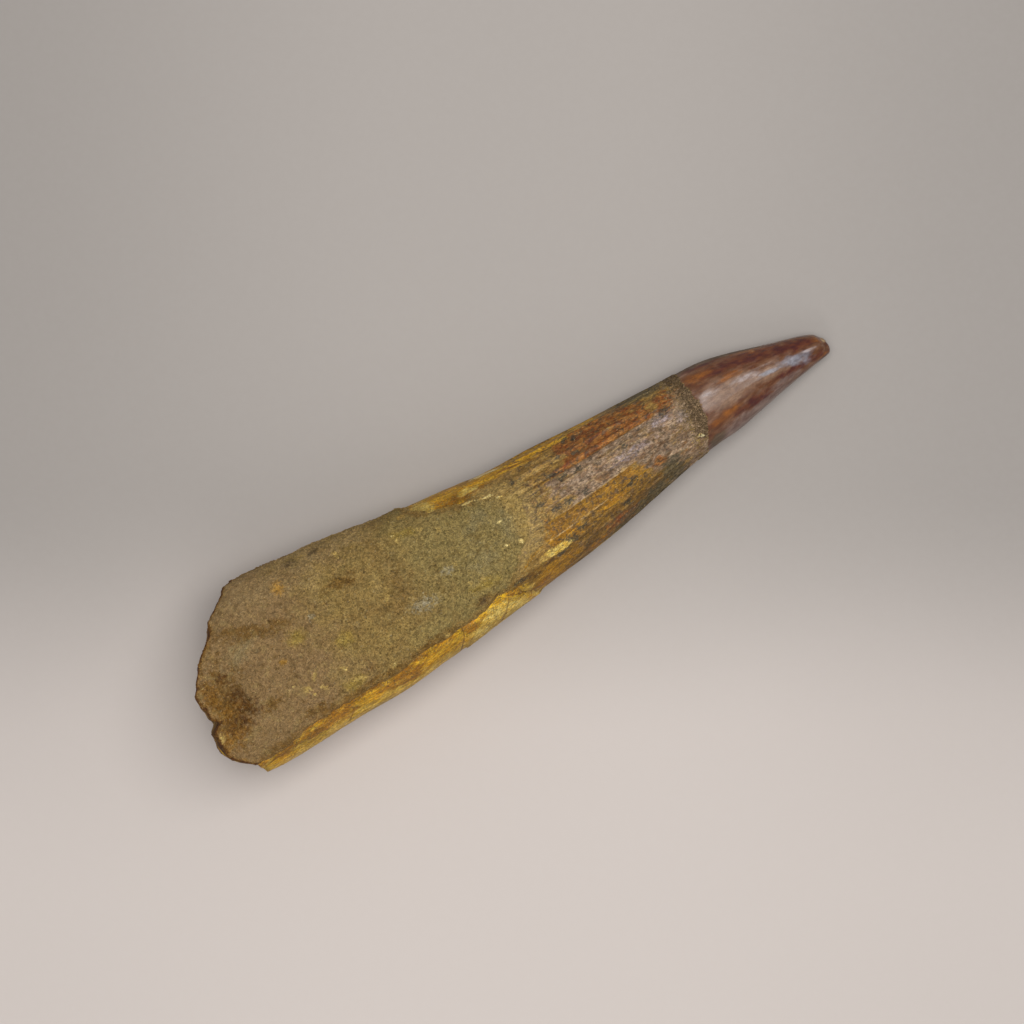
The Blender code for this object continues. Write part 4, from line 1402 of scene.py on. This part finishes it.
def tip_material():
    g = Graph("tip_enamel")
    base = g.colours(g.noise(0.9, 5.0, DRAWN, 0.4), [
        (0.30, seen(84, 50, 32)), (0.46, seen(98, 64, 43)), (0.58, seen(108, 76, 56)),
        (0.72, seen(122, 92, 74)),
    ])
    for mask, first, second, strength in TIP_PATCHES:
        base = g.layer(base, mask, first, second, 0.9, (0.4, 1.0, 1.0), 1.2, 0.28, strength, 0.7)
    base = g.specks(base, (74, 42, 30), 0.34, 4.0, 0.52, 0.72, 0.38, (0.2, 1.0, 1.0))
    base = g.mottled(base, 0.4, 5.0, DRAWN, 0.3, 0.7, 0.86, 1.14)
    base = g.mottled(base, 0.15, 2.0, EVEN, 0.3, 0.7, 0.86, 1.14)
    g.link(base, g.shader.inputs["Base Color"])
    polish = g.spread(g.along((1.0, 0.0, 0.0)), 37.0, 48.0, 0.38, 0.20)
    uneven = g.spread(g.noise(0.9, 4.0, (0.4, 1.0, 1.0)), 0.3, 0.7, 0.90, 1.15)
    polish = g.times(polish, uneven)
    finish = g.mix(g.ragged("grime", 0.7, EVEN, 1.0, 0.2, 0.8), polish, grey(0.75))
    g.link(finish, g.shader.inputs["Roughness"])
    g.shader.inputs["Specular IOR Level"].default_value = 0.6
    height = g.math("ADD", g.noise(0.35, 4.0, (0.2, 1.0, 1.0)), g.times(g.noise(0.5, 3.0), 0.4))
    g.link(g.bump(height, 0.00003, 0.8), g.shader.inputs["Normal"])
    return g.material


def floor_material():
    """A plain pale floor with painted light falloff: it darkens away from the lower edge of the picture
    and to its sides.
    """
    g = Graph("pale_floor")
    tone = g.centred(g.noise(60.0, 2.0), 12.0)
    # painted light falloff: brighter towards the picture's lower edge
    far = g.math("ADD", g.along((math.sin(-VIEW_ROLL), math.cos(VIEW_ROLL), 0.0)), tone)
    aside = g.math("ABSOLUTE", g.along((math.cos(VIEW_ROLL), math.sin(VIEW_ROLL), 0.0)))
    base = g.mix(g.spread(far, -34.0, 8.0), (0.550, 0.494, 0.455, 1.0), (0.375, 0.341, 0.312, 1.0))
    # painted vignette: darker towards the sides
    darker = g.mix(g.spread(far, -60.0, -5.0), grey(0.95), grey(0.82))
    base = g.tinted(base, g.mix(g.spread(aside, 12.0, 85.0), WHITE, darker))
    g.link(base, g.shader.inputs["Base Color"])
    g.link(g.spread(g.noise(1.0, 2.0), 0.3, 0.7, 0.80, 0.88), g.shader.inputs["Roughness"])
    return g.material


def build_stage():
    bpy.ops.mesh.primitive_grid_add(x_subdivisions=4, y_subdivisions=4, size=FLOOR_SIZE)
    floor = bpy.context.object
    floor.name = "floor"
    floor.data.materials.append(floor_material())


def add_light(name, place, target, length, width, power, colour):
    lamp = bpy.data.lights.new(name, "AREA")
    lamp.shape = "RECTANGLE"
    lamp.size = width
    lamp.size_y = length
    lamp.energy = power
    lamp.color = colour
    thing = bpy.data.objects.new(name, lamp)
    bpy.context.scene.collection.objects.link(thing)
    thing.location = place
    back = (Vector(place) - Vector(target)).normalized()
    side = Vector((0.0, 1.0, 0.0)).cross(back).normalized()
    thing.rotation_euler = Matrix((back.cross(side), side, back)).transposed().to_euler()


def build_lights():
    add_light("long_softbox", (0.50, 0.0, 0.98), (0, 0, 0), 1.20, 0.50, 8.0, (1.0, 0.99, 0.98))
    add_light("softbox_above", (-0.16, 0.10, 1.25), (0, 0, 0), 0.60, 0.60, 4.5, (1.0, 0.985, 0.965))
    add_light("fill_below", (-0.24, -0.36, 0.40), (0, 0, 0), 0.40, 0.40, 1.3, (1.0, 0.97, 0.94))
    add_light("cool_window", (0.90, -0.02, 0.62), (0.05, 0, 0), 0.18, 0.18, 2.5, (0.86, 0.93, 1.0))
    world = bpy.data.worlds.new("studio")
    world.use_nodes = True
    world.node_tree.nodes["Background"].inputs["Color"].default_value = (0.93, 0.95, 1.0, 1.0)
    world.node_tree.nodes["Background"].inputs["Strength"].default_value = 0.38
    bpy.context.scene.world = world
    bpy.context.scene.view_settings.view_transform = "Standard"


def build_camera():
    camera = bpy.data.cameras.new("camera")
    camera.lens = LENS_MM
    camera.sensor_width = SENSOR_MM
    camera.clip_start = 0.01
    thing = bpy.data.objects.new("camera", camera)
    bpy.context.scene.collection.objects.link(thing)
    away = VIEW_WIDTH * LENS_MM / SENSOR_MM
    thing.location = (VIEW_CENTRE[0], VIEW_CENTRE[1], SILHOUETTE_HEIGHT + away)
    thing.rotation_euler = (0.0, 0.0, VIEW_ROLL)
    bpy.context.scene.camera = thing


def loose_grit(loop):
    """Grains on the gritty ring, and strewn past the sandstone's border."""
    places = np.linspace(-50.0, RING_AT + 0.4, GRIT_GRID[0])
    angles = np.linspace(0.0, 2 * np.pi, GRIT_GRID[1])
    form = bare_form(places[:, None], angles)
    crust = crust_inside(form, loop)
    grid = placed(form, tooth_relief(form, crust))
    masks = crust_masks(form, crust)
    from_ring = past_ring(form)
    ring = ramp(from_ring, -RING_WIDTH - 0.8, -0.8) + 0.10 * ramp(from_ring, -7.0, -2.0)
    ring = ring * fade(from_ring, -0.3, 0.2) * ring_left(form)
    strewn = 0.30 * np.exp(np.minimum(crust, 0.0) / 0.7) * (crust < 0.0) * facing(form)
    wide = 0.10 * np.exp(np.minimum(crust, 0.0) / 2.0) * (crust < 0.0) * ramp(form["x"], -14.0, -2.0)
    masks["grit"] = ring
    for key in ("rim", "brink_and_shade", "tongue_line", "tongue", "base"):
        masks[key] = 0.0 * crust
    weight = ring + (strewn + wide) * facing(form)
    return scatter("loose_grit", grid, weight, masks, LOOSE_GRAINS, LOOSE_SAND, 8)


def main():
    loop = border_loop()
    tooth = build_tooth(loop)
    tooth.data.materials.append(tooth_material())
    tooth.data.materials.append(tip_material())
    glossy = np.zeros(len(tooth.data.vertices))
    tooth.data.attributes["tip"].data.foreach_get("value", glossy)
    for face in tooth.data.polygons:
        face.material_index = int(glossy[face.vertices[0]] > 0.5)
    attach(tooth, "root")
    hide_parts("tooth")
    sandstone, top, crust, masks = build_crust(loop)
    stone = sandstone_material()
    sandstone.data.materials.append(stone)
    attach(sandstone, "root")
    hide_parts("sandstone_matrix")
    shown = ramp(crust, 0.02, 0.2)
    coarse = scatter("coarse_sand", top, shown, masks, SAND_GRAINS, COARSE_SAND, 7)
    fine = scatter("fine_sand", top, shown, masks, SAND_GRAINS, FINE_SAND, 9)
    for piece in (coarse, fine, loose_grit(loop)):
        piece.data.materials.append(stone)
        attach(piece, "root")
    build_stage()
    build_lights()
    build_camera()


main()
